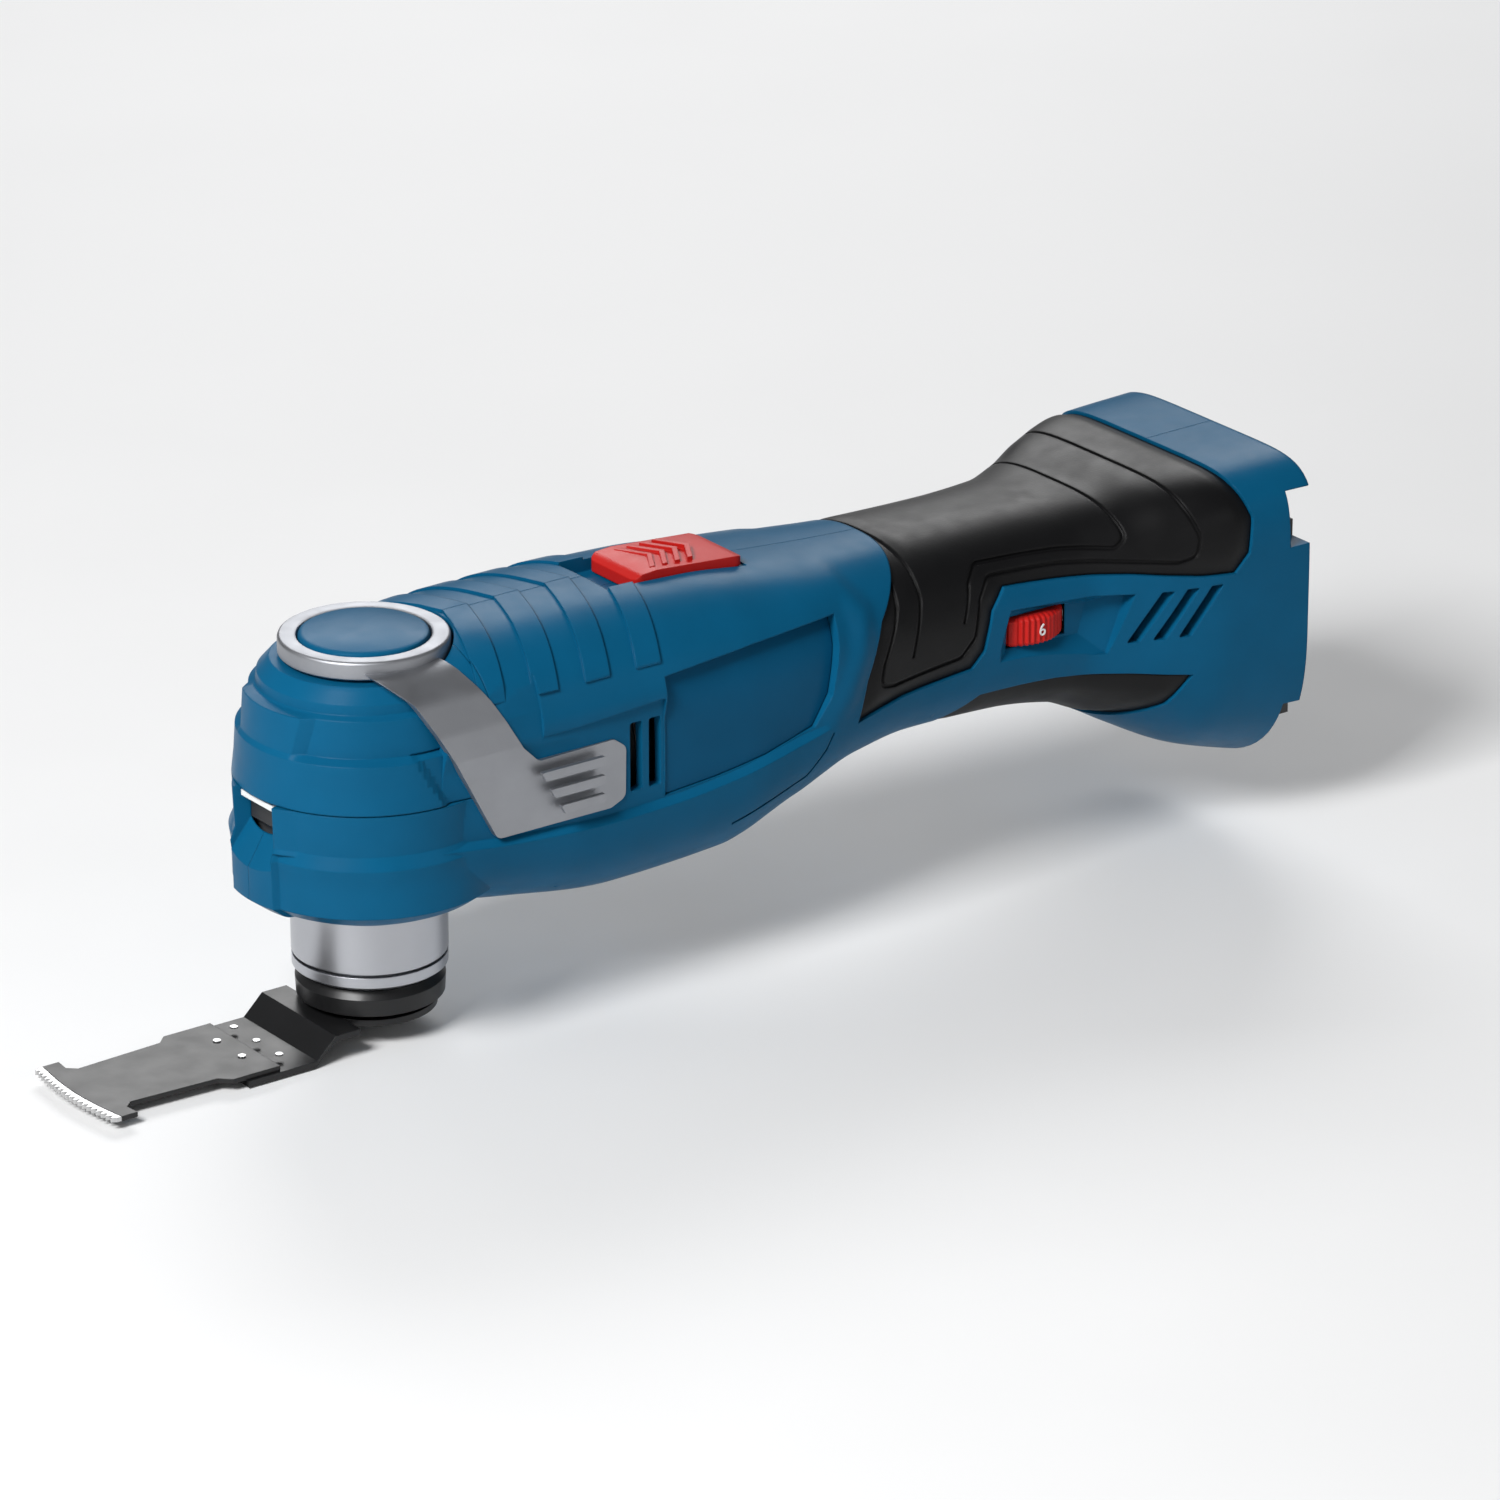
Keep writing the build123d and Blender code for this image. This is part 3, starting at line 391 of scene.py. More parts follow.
MATERIALS = {
    "blue_plastic": surface("blue_plastic", BLUE, 0.34, edge=0.00045, depth=0.000012, specular=0.07),
    "plate_plastic": surface("plate_plastic", (0.0026, 0.078, 0.17), 0.32, grain=1500, depth=0.000008,
                             specular=0.07),
    "soft_grip": surface("soft_grip", (0.0055, 0.0055, 0.006), 0.42, grain=1800, depth=0.00002,
                         edge=0.0007, vary=0.12, specular=0.2),
    "lever_metal": surface("lever_metal", (0.38, 0.39, 0.415), 0.5, metallic=1.0, grain=1400,
                           depth=0.00001, edge=0.00012, vary=0.04),
    "brushed_steel": surface("brushed_steel", (0.50, 0.51, 0.54), 0.33, metallic=1.0, grain=9,
                             depth=0.000006, stretch=(12, 12, 600), vary=0.03),
    "bearing_steel": surface("bearing_steel", (0.65, 0.65, 0.67), 0.15, metallic=1.0, vary=0.02),
    "screw_steel": surface("screw_steel", (0.10, 0.10, 0.105), 0.38, metallic=1.0),
    "cast_aluminium": surface("cast_aluminium", (0.5, 0.5, 0.51), 0.5, metallic=1.0, grain=900,
                              depth=0.00004),
    "lamination_steel": surface("lamination_steel", (0.22, 0.22, 0.23), 0.5, metallic=1.0, grain=5,
                                stretch=(900, 5, 5)),
    "copper": surface("copper", (0.55, 0.2, 0.08), 0.35, metallic=1.0, grain=10, stretch=(5, 400, 400)),
    "contact_metal": surface("contact_metal", (0.72, 0.55, 0.28), 0.3, metallic=1.0),
    "black_plastic": surface("black_plastic", (0.02, 0.02, 0.021), 0.5, depth=0.00003),
    "circuit_board": surface("circuit_board", (0.01, 0.10, 0.035), 0.4, mottle=500),
    "wire_insulation": surface("wire_insulation", (0.03, 0.03, 0.03), 0.45),
    "red_plastic": surface("red_plastic", (0.50, 0.014, 0.011), 0.36, grain=1600, depth=0.000015,
                           edge=0.0004, specular=0.15),
    "clear_plastic": surface("clear_plastic", (0.75, 0.77, 0.78), 0.18, grain=600),
    "black_steel": surface("black_steel", (0.009, 0.009, 0.0095), 0.34, grain=700, depth=0.00001,
                           vary=0.15, edge=0.0002, specular=0.4),
    "bright_steel": surface("bright_steel", (0.62, 0.62, 0.62), 0.3, metallic=1.0, grain=800,
                            stretch=(4, 1, 1)),
    "white_print": surface("white_print", (0.8, 0.8, 0.8), 0.45, edge=0.0),
}

slot_of = {row["node"]: row["material_slot"] for row in frame["record"]["subparts"]}
slot_of["led_board"] = "black_plastic"      # the board behind the work light is made black as painted shade, to darken the pocket under the cap's edge
for node_name, node in frame["nodes"].items():
    node.data.materials.clear()
    node.data.materials.append(MATERIALS[slot_of[node_name]])


# ---------------------------------------------------------------- form of the barrel

# x, underside, top, half width, height of the widest line, squareness above and below
STATIONS = [
    (0, 18.5, 74.3, 30.0, 44, 3.0, 3.0),
    (22, 14.2, 77.4, 31.2, 44, 3.0, 3.0),
    (50, 10.4, 77.5, 32.0, 44, 3.0, 3.0),
    (78, 11.6, 76.6, 32.0, 44, 3.0, 3.0),
    (98, 18.4, 74.3, 30.5, 45, 3.0, 3.0),
    (118, 24.0, 72.7, 27.5, 47, 2.8, 2.8),
    (135, 25.2, 71.8, 25.8, 48, 2.6, 2.6),
    (160, 24.3, 71.3, 25.2, 48, 2.6, 2.6),
    (178, 21.8, 71.2, 26.5, 47, 2.8, 2.6),
    (190, 16.8, 71.8, 30.0, 45, 3.5, 2.6),
    (200, 11.2, 73.8, 33.5, 42, 4.5, 2.6),
    (214, 4.0, 75.4, 36.5, 38, 6.0, 2.6),
    (FOOT_X, -3.3, 75.8, 37.5, 36, 6.5, 2.6),
]
STATION_CURVES = [curve_through([s[0] for s in STATIONS], [s[i] for s in STATIONS])
                  for i in range(1, 7)]

CREASE_DEPTH = 1.9           # the flank above the crease lies this much deeper
CREASE_WIDTH = 1.3
FLANK_FADE_Z = (52, 60)      # the step fades out up the flank
FLANK_FADE_X = (94, 108)     # and back towards the handle
RIDGE_HEIGHT = 0.9           # the ridge that runs round behind each side plate
RIDGE_WIDTH = 5
RUBBER_DROP = 0.8            # how far the rubber falls away at its edges
RUBBER_ROUNDING = 4.2
PLATE_DEPTH = 2.3            # how far the side plates lie below the surface round them
PLATE_THICK = 1.2
WALL_THICK = 4.4
POINTS_BELOW_CREASE = 24
POINTS_ABOVE_CREASE = 46
crease_top = curve_through([0, 19, 42, 61, 76, 88, 98, 110],
                           [36.7, 34.9, 34.0, 34.6, 36.2, 38.2, 40.0, 42])

GRIP_OUTLINE = [
    (137.5, 90), (133, 72), (121, 60), (115.5, 48), (113, 38.5), (127, 41), (147, 42.5),
    (150.5, 46), (153, 55), (157, 59.5), (172, 58.5), (189, 57), (206, 54.5), (214, 54),
    (218, 58), (219.3, 66), (217, 73), (214, 90),
]
BELLY_OUTLINE = [
    (140, 10), (143, 29), (151, 34.5), (172, 34), (189, 32.5), (204, 30.5), (200, 23),
    (192, 18), (184, 10),
]
UNDER_PAD_OUTLINE = [(70, -5), (72, 14.5), (80, 16), (92, 20.5), (101, 22.5), (104, -5)]
PLATE_OUTLINE = [
    (58.5, 35.2), (58.5, 62.8), (83, 64.4), (107.5, 64.8), (107, 58), (104.5, 47.5), (99.8, 41),
    (86, 38), (72, 36.2),
]
RIDGE_PATH = [(82, 67.5), (100, 68.8), (112, 68.2), (115.5, 63), (114, 55), (109.5, 46), (103, 39.5)]


def plastic_height(x, z, crease):
    """How far the housing stands out of, or lies below, the plain sections."""
    flank = smooth_step(crease - CREASE_WIDTH, crease, z) * (1 - smooth_step(*FLANK_FADE_Z, z))
    height = -CREASE_DEPTH * flank * (1 - smooth_step(*FLANK_FADE_X, x))
    away, along = distance_to_path(x, z, RIDGE_PATH)
    taper = smooth_step(0, 0.35, along) * (1 - smooth_step(0.8, 1, along))
    return height + RIDGE_HEIGHT * taper * (1 - smooth_step(0, RIDGE_WIDTH, away))


def rubber_height(x, z, crease):
    """The rubber falls away towards its edges, and the crease doesn't reach it."""
    height = np.full(len(x), -RUBBER_DROP)
    for outline in (GRIP_OUTLINE, BELLY_OUTLINE):
        edge, _ = distance_to_path(x, z, outline, closed=True)
        height += RUBBER_DROP * inside_outline(x, z, outline) * smooth_step(0, RUBBER_ROUNDING, edge)
    return height


def section_point(angle, half, reach, square):
    """Point of a superellipse in the direction of an angle, and its outward direction."""
    c, s = math.cos(angle), math.sin(angle)
    r = (abs(c / half) ** square + abs(s / reach) ** square) ** (-1 / square)
    y, z = r * c, r * s
    ny = abs(y / half) ** (square - 1) / half
    nz = math.copysign(abs(z / reach) ** (square - 1) / reach, s)
    size = math.hypot(ny, nz)
    return y, z, ny / size, nz / size


def barrel_ring(x, inset, height_of):
    """One cross section, with points exactly on the crease's two edges."""
    low, high, half, middle, square_top, square_low = [curve(x) for curve in STATION_CURVES]
    half, up, down = half - inset, high - middle - inset, middle - low - inset
    crease = crease_top(x)
    marks = []
    for height in (crease - CREASE_WIDTH, crease):
        drop = min(max((middle - height) / down, 0), 0.999)
        side = half * (1 - drop ** square_low) ** (1 / square_low)
        marks.append(math.atan2(-drop * down, side))
    angles = [*np.linspace(-math.pi / 2, marks[0], POINTS_BELOW_CREASE),
              *np.linspace(marks[1], math.pi / 2, POINTS_ABOVE_CREASE)]
    right = []
    for angle in angles:
        reach, square = (up, square_top) if angle > 0 else (down, square_low)
        right.append(section_point(angle, half, reach, square))
    right[0], right[-1] = (0, -down, 0, -1), (0, up, 0, 1)
    y, z, ny, nz = (np.array(v) for v in zip(*right))
    z = z + middle
    if height_of:
        height = height_of(np.full(len(y), x), z, crease)
        y, z = y + ny * height, z + nz * height
        y[0] = y[-1] = 0
    one_side = [(x, a, b) for a, b in zip(y, z)]
    return one_side + [(x, -a, b) for x, a, b in one_side[-2:0:-1]]


def barrel(inset=0.0, step=3.0, height_of=None):
    """The long body from the head to the foot, with its rear edge rounded over."""
    round_off = 1.2
    places = list(np.arange(0, FOOT_X - round_off, step))
    rings = [barrel_ring(x, inset, height_of) for x in places]
    for share in (0, 30, 60, 90):
        turn = math.radians(share)
        x = FOOT_X - round_off * (1 - math.sin(turn))
        rings.append(barrel_ring(x, inset + round_off * (1 - math.cos(turn)), height_of))
    return loft(rings)


# ---------------------------------------------------------------- form of the head

HEAD_PROFILE = [
    (16.4, 18.5), (18.6, 23.5), (19.8, 26.0), (22.5, 29.6), (30.0, 29.7), (33.8, 30.2), (36.7, 28.9),
    (46.2, 29.3), (51.3, 28.7), (57.3, 28.3), (58.4, 26.1), (63.0, 25.6), (66.6, 25.2), (67.4, 23.7),
    (69.6, 23.4), (72.1, 21.2), (72.7, 20.6),
]
# heights just below and just above each step in the nose and the cap's sides
HEAD_FORM_STEPS = [19.0, 19.1, 35.4, 35.6, 46.1, 46.3, 57.2, 58.6, 67.1, 67.9, 71.9]
NOSE_GRID = 26               # this many grid lines lie on the nose, each side of its middle
UPPER_NOSE_Z = (58.4, 67.0)
UPPER_NOSE_HEIGHT = 1.5
LOWER_NOSE_HEIGHT = 1.3
FACE_STEP = 0.9              # the cap's sides lie this much inside its front


def nose_edges(z):
    """Where the raised nose ends and where its bevel meets the round head, in degrees."""
    if z > HEAD_SEAM_Z:
        return 20.5 + 0.48 * (z - 57.1), 27 + 0.54 * (z - 57.7)
    if z > 35.5:
        return 15.5, 24.5
    return 14.5, 16.5


def head_angles(z):
    """Angles from the front, packed so that grid lines follow the nose's edges."""
    first, second = nose_edges(z)
    edges = [0, first, second, 90, 180]
    counts = [NOSE_GRID, 4, 50, 50]
    angles = []
    for start, end, count in zip(edges, edges[1:], counts):
        angles += list(np.linspace(start, end, count, endpoint=False))
    angles.append(180.0)
    return angles


def head_radius(degrees, z):
    """Radius of the head's stepped and faceted outer face."""
    heights = [p[0] for p in HEAD_PROFILE]
    radius = float(np.interp(z, heights, [p[1] for p in HEAD_PROFILE]))
    first, second = nose_edges(z)
    on_nose = float(1 - np.clip((degrees - first) / (second - first), 0, 1))
    if UPPER_NOSE_Z[0] <= z <= UPPER_NOSE_Z[1]:
        radius += UPPER_NOSE_HEIGHT * on_nose
    elif 19.0 < z < HEAD_SEAM_Z:
        radius += LOWER_NOSE_HEIGHT * on_nose
    if HEAD_SEAM_Z < z < 58.5:
        end = 78 + 1.2 * (58 - z)
        radius -= FACE_STEP * float(smooth_step(end, end + 2.5, degrees))
    return radius


def head_form():
    """The solid head, with grid lines at each height where its form changes."""
    kinks = sorted([p[0] for p in HEAD_PROFILE] + HEAD_FORM_STEPS)
    heights = []
    for low, high in zip(kinks, kinks[1:]):
        count = max(int((high - low) / 1.6), 1)
        heights += list(np.linspace(low, high, count, endpoint=False))
    heights.append(kinks[-1])
    rings = []
    for z in heights:
        angles = head_angles(z)
        signed = angles + [-a for a in angles[-2:0:-1]]
        ring = []
        for degrees in signed:
            radius = head_radius(abs(degrees), z)
            turn = math.radians(180 + degrees)
            ring.append((radius * math.cos(turn), radius * math.sin(turn), z))
        rings.append(ring)
    return loft(rings)


# ---------------------------------------------------------------- housing

def behind_head(shape, inset):
    """Cuts away the barrel's upper half over the head, and makes room for the lever's ring."""
    shoulder = [(-60, 47), (0.5 + inset, 47), (2 + inset, 60), (7 + inset, 68), (9 + inset, 90),
                (-60, 90)]
    return cut(shape, side_prism(shoulder, -60, 60), disc(19.4 + inset, 72.75 - inset, 99))


RIB_STARTS = (20.5, 34.0, 47.5, 61.0)
RIB_WIDTH = 6.5
RIB_REACH = 29.0             # half the length of a rib across the top
RIB_HEIGHT = 0.55
RIB_SLANT = 0.33             # how far a rib runs forward for each mm away from the middle


def top_ribs():
    """Raised bars that run slantwise across the top behind the lever."""
    bars = []
    for start in RIB_STARTS:
        end = start - RIB_SLANT * RIB_REACH
        bar = [(start, 0), (end, -RIB_REACH), (end + RIB_WIDTH, -RIB_REACH), (start + RIB_WIDTH, 0),
               (end + RIB_WIDTH, RIB_REACH), (end, RIB_REACH)]
        bars.append(plan_prism(bar, 66, 90))
    ribs = common(barrel(-RIB_HEIGHT), joined(bars))
    return cut(ribs, disc(19.6, 60, 99), barrel(3.0))


outer = merged(behind_head(barrel(0, 1.2, plastic_height), 0), top_ribs(), head_form())
under_rubber = barrel(RUBBER_DEPTH)
plate_face = barrel(PLATE_DEPTH)
under_plate = barrel(PLATE_DEPTH + PLATE_THICK)
barrel_cavity = cut(behind_head(barrel(WALL_THICK), 2.5), block((224, 260), (-60, 60), (-20, 99)))
head_cavity = turned([(0, 18.9), (23, 18.9), (27, 22.5), (26.4, 46), (25.6, 57.3), (23.7, 59.1),
                      (22.6, 66), (19, 70), (0, 70)])

SLIDER_X = (65.5, 95.0)
DIAL_X, DIAL_Y, DIAL_R = 166.0, -14.6, 11.6
DIAL_GAP = 0.6
SCREW_PLACES = [(36, 17.5), (40, 69.5), (112, 28), (136, 34), (207, 24), (223.5, 63.5)]
TAB_FLOOR_Y = 29.9           # the flat recess that the lever's tab lies in


def both_flanks(outline, near, far):
    """The same prism cut into both flanks."""
    return joined([side_prism(outline, -far, -near), side_prism(outline, near, far)])


def frustum(inner, outer_outline, inner_y, surface_y, far_y):
    """Pocket tool that narrows inward from the surface."""
    rings = [[(x, inner_y, z) for x, z in inner], [(x, surface_y, z) for x, z in outer_outline],
             [(x, far_y, z) for x, z in outer_outline]]
    return loft(rings)


def ribbon(path, width):
    """A closed outline round an open path."""
    points = [Vector(p) for p in path]
    runs = [(end - start).normalized() for start, end in zip(points, points[1:])]
    left, right = [], []
    for i, p in enumerate(points):
        before = runs[max(i - 1, 0)]
        after = runs[min(i, len(runs) - 1)]
        along = (before + after).normalized()
        normal = Vector((-along.y, along.x))
        reach = width / 2 / max(normal.dot(Vector((-after.y, after.x))), 0.5)
        left.append(tuple(p + normal * reach))
        right.append(tuple(p - normal * reach))
    return left + right[::-1]


def arm_clearance():
    """Space along the left flank for the upper part of the lever's arm."""
    outline = [(-29.8, 52), (-29.8, 57), (-29.1, 62.5), (-26.0, 70.3), (-50, 70.3), (-50, 52)]
    return loft([[(x, y, z) for y, z in outline] for x in (-25, 26)])


def vent_slots():
    """Two upright slots ahead of each side plate and three slanted ones near the foot."""
    slots = []
    for x in (49.0, 54.0):
        slot = rounded([(x, 38.2), (x + 3.2, 38.2), (x + 3.2, 54.2), (x, 54.2)], 0.6, 3)
        slots.append(both_flanks(slot, 24, 45))
    for i in range(3):
        x = 188 + 5.9 * i
        slot = rounded([(x, 40.5), (x + 3.2, 40.5), (x + 11.2, 52), (x + 8, 52)], 0.5, 3)
        slots.append(both_flanks(slot, 18, 50))
    return joined(slots)


def housing():
    """Both clamshells in one, with every opening cut."""
    form = cut(outer, barrel_cavity, head_cavity)
    posts = joined([rod_along_y(3.4, -24, 24, x, z) for x, z in SCREW_PLACES])
    form = merged(form, common(outer, posts))
    form = cut(form, joined([disc(12, 60, 99), disc(17.35, 0, 30)]))
    for outline in (GRIP_OUTLINE, BELLY_OUTLINE, UNDER_PAD_OUTLINE):
        form = cut(form, cut(side_prism(shrunk(outline, -0.12), -60, 60), under_rubber))
    plates = both_flanks(shrunk(PLATE_OUTLINE, -0.15), 5, 60)
    form = cut(form, cut(plates, under_plate), *label_grooves())
    recess = rounded([(-60, 34.9), (-60, 56.5), (30, 56.5), (58, 58.4), (58, 34.9)], 0.8, 3)
    form = cut(form, both_flanks(recess, TAB_FLOOR_Y, 60), arm_clearance(), vent_slots())
    return cut(form, dial_pocket(), switch_well(), led_pocket(), *battery_end())


def dial_pocket():
    """Sloped frame round the thumbwheel and the window it shows through."""
    frame_outline = [(157.2, 54.8), (152.6, 40.4), (184, 38.4), (190, 52.2)]
    floor = [(158.6, 53.2), (157.8, 44.3), (178.4, 43.4), (180.6, 50.8)]
    frame_cut = frustum(floor, frame_outline, -23.3, -26.4, -50)
    window = disc(DIAL_R + DIAL_GAP, 44.3, 51.8, DIAL_X, DIAL_Y)
    return merged(frame_cut, window)


def switch_well():
    return block((SLIDER_X[0] - 8, SLIDER_X[1] + 0.5), (-9.4, 9.4), (74.0, 90))


def led_pocket():
    """A funnel under the cap's edge, with a floor and sides that slope inward."""
    front = [(-36, -9.9, 46.15), (-36, 9.9, 46.15), (-36, 9.9, 22.2), (-36, -9.9, 22.2)]
    back = [(-24.8, -6.0, 46.15), (-24.8, 6.0, 46.15), (-24.8, 6.0, 40.5), (-24.8, -6.0, 40.5)]
    return loft([front, back])


def battery_end():
    """Trims the foot's rear face and opens the bay that the battery's contacts slide into."""
    rear_edge = block((235, 260), (-60, 60), (-20, 70))
    upper = block((229.5, 260), (-60, 60), (57, 70))
    lower = block((230.5, 260), (-60, 60), (-20, 17.5))
    bay = block((222, 260), (-29.3, 29.3), (15, 57))
    return [rear_edge, upper, lower, bay]


def label_grooves():
    """A fine line under the rear end of each side plate."""
    path = rounded([(105, 38.5), (103, 34.8), (98, 29.5), (77, 23.5)], 2.5, 4, closed=False)
    return [cut(side_prism(ribbon(path, 0.5), *flank), barrel(0.35, 2.0))
            for flank in (LEFT_FLANK, RIGHT_FLANK)]


def counterbores():
    """Stepped holes for the housing's screws, from the right flank to the middle."""
    holes = []
    for x, z in SCREW_PLACES:
        holes.append(merged(rod_along_y(2.85, 15, 60, x, z), rod_along_y(1.6, -1, 16, x, z)))
    return joined(holes)


blue = MATERIALS["blue_plastic"]
shell = housing()
cap_zone = block((-60, CAP_REAR_X), (-60, 60), (HEAD_SEAM_Z - 0.1, 99))
clamshells = cut(shell, cap_zone)
left_half = cut(clamshells, block((-60, 300), (-0.03, 60), (-20, 120)))
right_half = cut(clamshells, block((-60, 300), (-60, 0.03), (-20, 120)), counterbores())
cap = common(shell, block((-60, CAP_REAR_X - 0.1), (-60, 60), (HEAD_SEAM_Z + 0.2, 90)))
piece("Housing_left", left_half, "housing", "housing_left", blue, 20)
piece("Housing_right", right_half, "housing", "housing_right", blue, 20)
piece("Head_cap", cap, "housing", "head_cover", blue, 14)


# ---------------------------------------------------------------- plates and rubber

plate_material = MATERIALS["plate_plastic"]
rubber_material = MATERIALS["soft_grip"]


def side_plate(flank):
    prism = side_prism(rounded(shrunk(PLATE_OUTLINE, 0.1), 0.8, 3), *flank)
    return cut(common(plate_face, prism), under_plate)


piece("Plate_left", side_plate(LEFT_FLANK), "housing", "side_plate_left", plate_material)
piece("Plate_right", side_plate(RIGHT_FLANK), "housing", "side_plate_right", plate_material)

OUTER_GROOVE = [
    (127.5, 90), (129.6, 74), (126.5, 62), (120.6, 50), (119.5, 45.3), (124, 44.6), (143.5, 46.2),
    (147.5, 50), (149.6, 58.5), (153, 62.6), (172, 61.8), (200, 58.6), (204.2, 59.6), (205.4, 64),
    (203.6, 70), (200, 90),
]
INNER_GROOVE = [(134.5, 90), (134.0, 74), (133.4, 62.0), (130.6, 53.5), (129.4, 49.6)]
UPPER_GROOVE = [(144.5, 54), (147.6, 62.4), (151, 65.4), (174, 64.4), (186.6, 63.0), (189.6, 65),
                (189.0, 70), (186.5, 90)]
GROOVE_WIDTH = 0.9
GROOVE_DEPTH = 0.55
rubber_face = barrel(0, 1.2, rubber_height)


def rubber_layer(outline):
    return cut(common(rubber_face, side_prism(shrunk(outline, 0.12), -60, 60)), under_rubber)


def grip():
    """The wrap over the barrel, with the grooves that divide it into pads."""
    layer = rubber_layer(GRIP_OUTLINE)
    floor = barrel(GROOVE_DEPTH, 1.5, rubber_height)
    for path in (OUTER_GROOVE, INNER_GROOVE, UPPER_GROOVE):
        smooth_path = rounded(path, 2.5, 4, closed=False)
        tool = cut(side_prism(ribbon(smooth_path, GROOVE_WIDTH), -60, 60), floor)
        layer = cut(layer, tool)
    return layer


piece("Grip", grip(), "housing", "grip_rubber", rubber_material)
piece("Belly_grip", rubber_layer(BELLY_OUTLINE), "housing", "belly_rubber", rubber_material)
piece("Underside_pad", rubber_layer(UNDER_PAD_OUTLINE), "housing", "underside_pad", rubber_material)


# ---------------------------------------------------------------- lever

ARM_THICK = 2.4
lever_metal = MATERIALS["lever_metal"]


def bent_sheet():
    """The arm's sheet seen along X: out from the ring, over the head's edge and down its flank."""
    corners = [(-14, 75.0), (-20.8, 75.0), (-26.8, 70.2), (-29.6, 62.5), (-30.4, 56), (-30.4, 30)]
    inner = [Vector(p) for p in rounded(corners, 8, 7, closed=False)]
    outer_side = []
    for i, p in enumerate(inner):
        ahead = inner[min(i + 1, len(inner) - 1)] - inner[max(i - 1, 0)]
        normal = Vector((ahead.y, -ahead.x)).normalized()
        outer_side.append(p - normal * ARM_THICK)
    outline = [tuple(p) for p in inner + outer_side[::-1]]
    return loft([[(x, y, z) for y, z in outline] for x in (-25, 60)])


def lever():
    """A ring over the spindle, an arm bent down the left flank and three bars to push on."""
    ring = turned([
        (14.6, 73.4), (18.4, 73.4), (18.8, 73.8), (18.8, 76.8), (18.6, 77.3), (18.1, 77.6),
        (15.4, 77.6), (14.8, 77.3), (14.6, 76.8),
    ])
    arm_outline = rounded([
        (-16, 80), (-5, 70), (3.0, 56), (10.6, 41.5), (13.6, 35.9), (43.5, 35.9), (47.4, 37.6),
        (47.6, 49.4), (44.4, 51.8), (24.6, 51.4), (20.6, 55.4), (14, 67), (9, 74), (3, 80),
    ], 2.2, 5)
    arm = common(bent_sheet(), side_prism(arm_outline, -45, -14.9))
    bars = []
    for start, z in ((23.4, 48.6), (25.8, 44.2), (28.4, 39.9)):
        corners = [(start, z + 1.1), (start + 1.2, z - 1.1), (40.2, z - 1.1), (40.2, z + 1.1)]
        bars.append(side_prism(rounded(corners, 0.4, 2), -33.15, -32.0))
    return merged(ring, arm, *bars)


piece("Clamp_lever", lever(), "lever", "clamp_lever", lever_metal, 40)

disc_profile = [(0, 75), (14.35, 75), (14.35, 77.0), (14.0, 77.7), (13.2, 78.1), (8, 78.6), (0, 78.8)]
piece("Lever_disc", turned(disc_profile), "lever", "cap_disc", blue)


# ---------------------------------------------------------------- slider and dial

red = MATERIALS["red_plastic"]


def slider():
    """Wedge that is high in front and nearly flush behind, with slanting ribs."""
    low, high = SLIDER_X
    side_view = [(low, 74.4), (high, 74.4), (high, 76.2), (high - 2, 76.9), (low + 6, 78.5),
                 (low + 2, 78.2), (low, 77.0)]
    body = side_prism(side_view, -9, 9)
    corners = rounded([(low, -9), (high, -9), (high, 9), (low, 9)], 2.2, 5)
    body = common(body, plan_prism(corners, 70, 85))
    ribs = []
    for i in range(4):
        x = low + 5.5 + 3.4 * i
        rib = [(x, -6.8), (x + 1.4, -6.8), (x + 5.4, 0), (x + 1.4, 6.8), (x, 6.8), (x + 4.0, 0)]
        ribs.append(plan_prism(rib, 76, 78.62))
    frame_pad = rounded([(low + 24, -6), (high - 4, -6), (high - 4, 6), (low + 24, 6)], 1.2, 3)
    body = merged(body, *ribs)
    return cut(body, plan_prism(frame_pad, 77.15, 80))


piece("Slider", slider(), "slider", "slide_switch", red)


DIAL_TEETH = 50
POINTS_PER_TOOTH = 8
NUMBER_STEP = 54             # degrees from one number to the next
NUMBER_PATCH = 7             # the ribs fade out this many degrees from a number's middle
NUMBER_Z = 47.9


def dial_reach(angle):
    """How far the ribs stand out at an angle, 0 to 1. It is 1 all over the patch under a number."""
    rib = 0.5 * (1 + math.cos(DIAL_TEETH * angle))
    half = NUMBER_STEP / 2
    from_number = abs((math.degrees(angle) + 90 + half) % NUMBER_STEP - half)
    fade = min(from_number / NUMBER_PATCH, 1)
    return rib * fade + (1 - fade)


def dial():
    """Thumbwheel with fine upright ribs and a smooth patch under each number."""
    rings = []
    profile = [(-1.2, 42.6), (0, 44.6), (0.0, 44.8), (0.5, 45.2), (0.5, 50.6), (0.0, 51.1), (-1.2, 51.5)]
    count = DIAL_TEETH * POINTS_PER_TOOTH
    for grow, z in profile:
        ring = []
        for i in range(count):
            angle = 2 * math.pi * i / count
            r = DIAL_R - 1.0 + grow + 0.55 * dial_reach(angle)
            ring.append((DIAL_X + r * math.cos(angle), DIAL_Y + r * math.sin(angle), z))
        rings.append(ring)
    rings[0] = [(DIAL_X + (x - DIAL_X) * 0.3, DIAL_Y + (y - DIAL_Y) * 0.3, z) for x, y, z in rings[0]]
    return loft(rings)


piece("Speed_dial", dial(), "dial", "speed_dial", red)


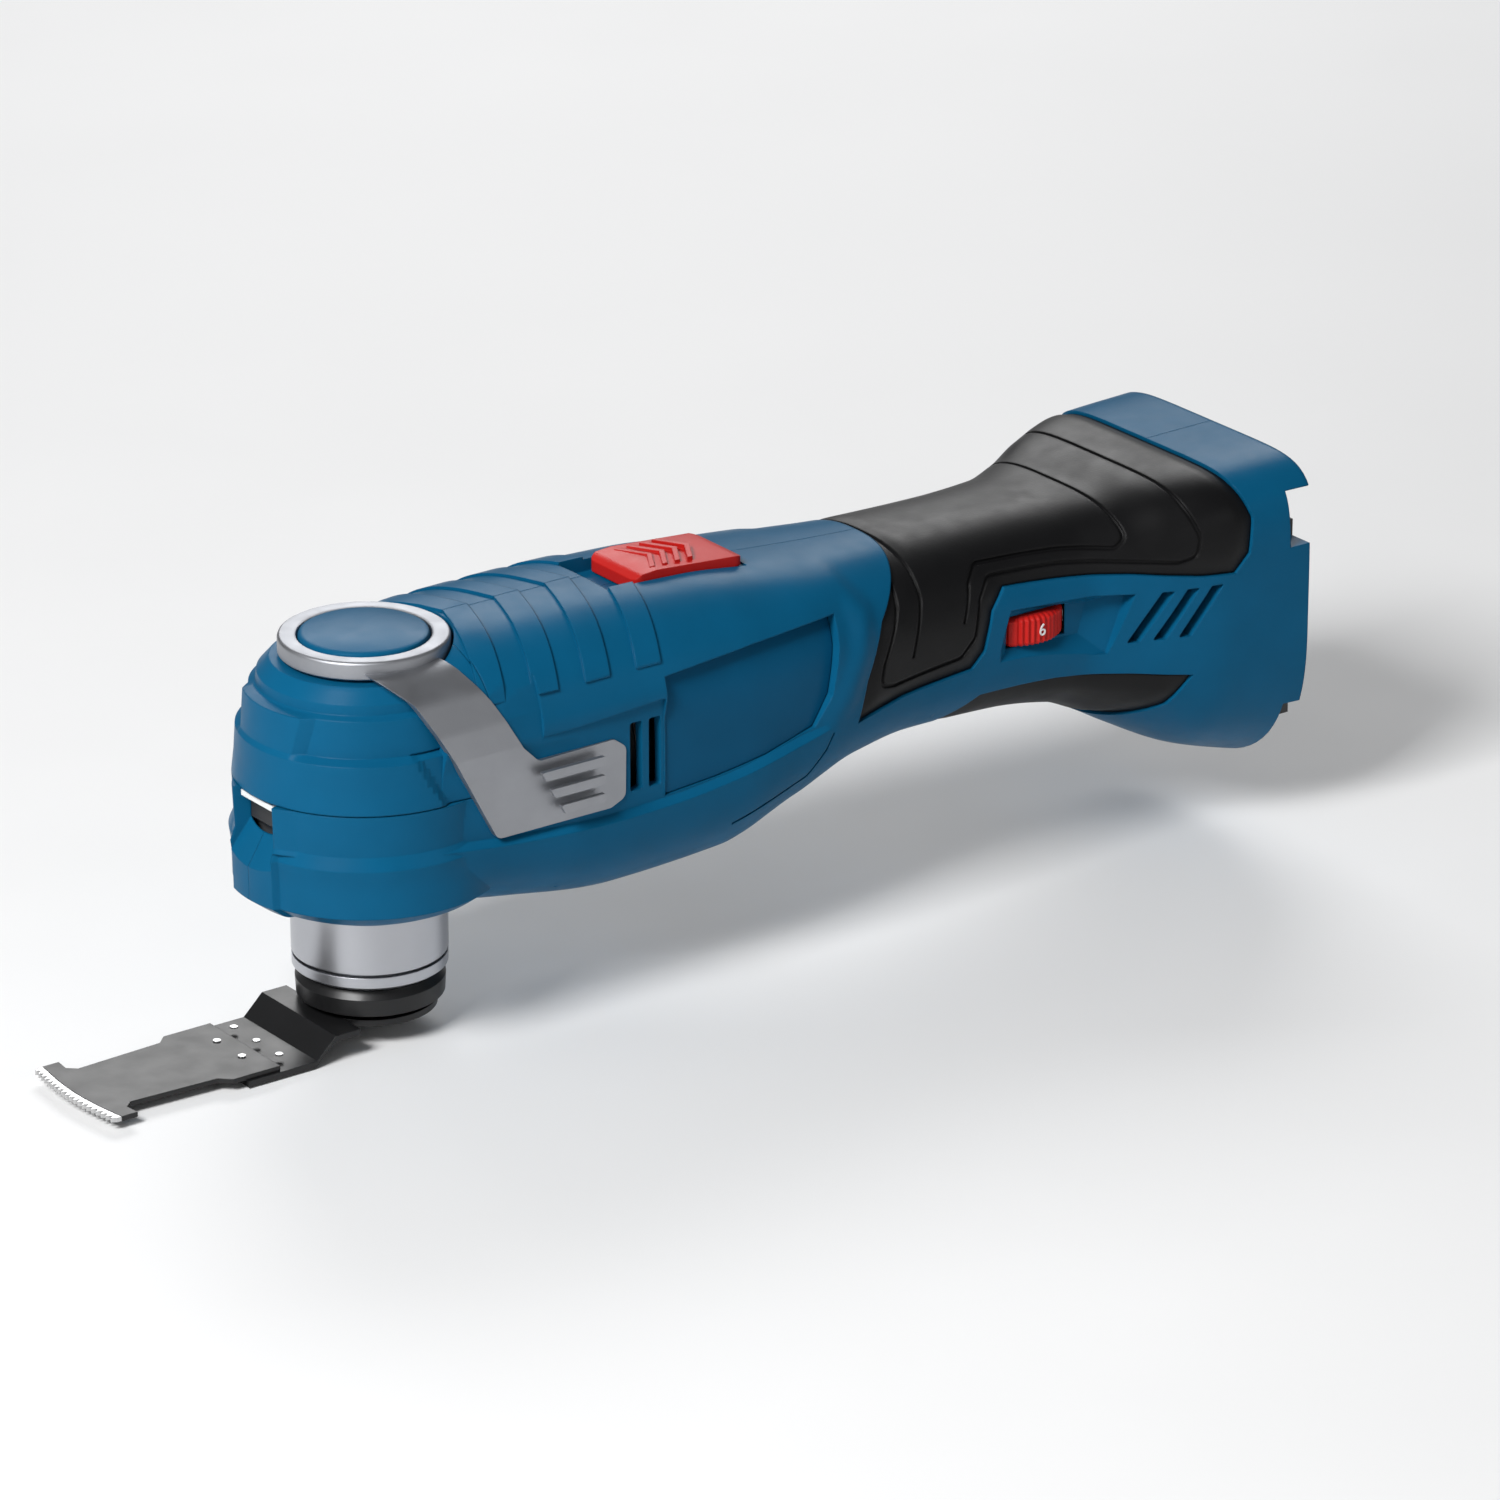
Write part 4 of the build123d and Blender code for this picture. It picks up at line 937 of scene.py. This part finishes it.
def dial_number(value, degrees):
    """A raised figure on the rim of the thumbwheel."""
    text = bpy.data.curves.new("number", "FONT")
    text.body = str(value)
    text.size = 4.0
    text.align_x = "CENTER"
    text.align_y = "CENTER"
    text.extrude = 0.12
    holder = bpy.data.objects.new("number", text)
    bpy.context.scene.collection.objects.link(holder)
    graph = bpy.context.evaluated_depsgraph_get()
    mesh = bpy.data.meshes.new_from_object(holder.evaluated_get(graph))
    bpy.data.objects.remove(holder)
    rim = DIAL_R + 0.05
    for vertex in mesh.vertices:
        x, y, z = vertex.co
        turn = math.radians(degrees) + x / rim
        r = rim + z
        vertex.co = (DIAL_X + r * math.cos(turn), DIAL_Y + r * math.sin(turn), NUMBER_Z + y)
    piece(f"Dial_number_{value}", mesh, "dial", None, MATERIALS["white_print"])


for value in range(1, 7):
    dial_number(value, -90 + NUMBER_STEP * (6 - value))


# ---------------------------------------------------------------- neck and work light

def neck():
    """Steel neck, straight from its rounded lower edge up into the housing."""
    return turned([
        (15.4, 4.0), (16.8, 4.0), (17.15, 4.1), (17.3, 4.45), (17.3, 16.9), (16.6, 17.2), (16.6, 19.0),
        (20.2, 19.2), (20.2, 20.2), (12.2, 20.2), (12.2, 18.6), (15.4, 18.4),
    ])


piece("Neck", neck(), "housing", "neck_collar", MATERIALS["brushed_steel"])
piece("Work_light", block((-28.4, -26.05), (-6.2, 6.2), (44.4, 45.7)), "housing", "led_lens",
      MATERIALS["clear_plastic"])


# ---------------------------------------------------------------- room, light and camera

def area_light(name, place, target, size, power):
    data = bpy.data.lights.new(name, "AREA")
    data.shape = "RECTANGLE"
    data.size, data.size_y = size
    data.energy = power
    light = bpy.data.objects.new(name, data)
    light.location = place
    aim = Vector(target) - Vector(place)
    light.rotation_euler = aim.to_track_quat("-Z", "Y").to_euler()
    bpy.context.scene.collection.objects.link(light)


area_light("key", (-0.95, -0.35, 1.05), (0.08, 0, 0.04), (0.5, 0.5), 23)
area_light("front_fill", (-1.3, -0.9, 0.45), (0.05, 0, 0.04), (0.6, 0.6), 1.6)
area_light("side_fill", (0.5, -1.4, 0.55), (0.12, 0, 0.03), (0.9, 0.4), 1.2)
area_light("rim", (0.7, 0.9, 0.7), (0.15, 0, 0.04), (0.8, 0.4), 6)

world = bpy.data.worlds.new("room")
world.use_nodes = True
world.node_tree.nodes["Background"].inputs["Color"].default_value = (0.95, 0.97, 1.0, 1)
world.node_tree.nodes["Background"].inputs["Strength"].default_value = 0.15
bpy.context.scene.world = world

floor_z = cad_box[0][2] - 0.0004
floor_mesh = block((-4, 4), (-4, 4), (floor_z - 0.01, floor_z))
floor_mesh.materials.append(surface("floor", (0.86, 0.86, 0.86), 0.6, vary=0.01, mottle=5, edge=0.0))
floor = bpy.data.objects.new("Floor", floor_mesh)
bpy.context.scene.collection.objects.link(floor)

camera_data = bpy.data.cameras.new("camera")
camera_data.lens = 193.38
camera_data.sensor_width = 36
camera_data.clip_start = 0.1
camera_data.clip_end = 20
camera = bpy.data.objects.new("Camera", camera_data)
camera.location = (-0.8917, -1.3539, 0.7066)
view_line = Vector((0.1033, 0, 0.0252)) - camera.location
camera.rotation_euler = view_line.to_track_quat("-Z", "Y").to_euler()
bpy.context.scene.collection.objects.link(camera)
bpy.context.scene.camera = camera
bpy.context.scene.view_settings.view_transform = "Standard"
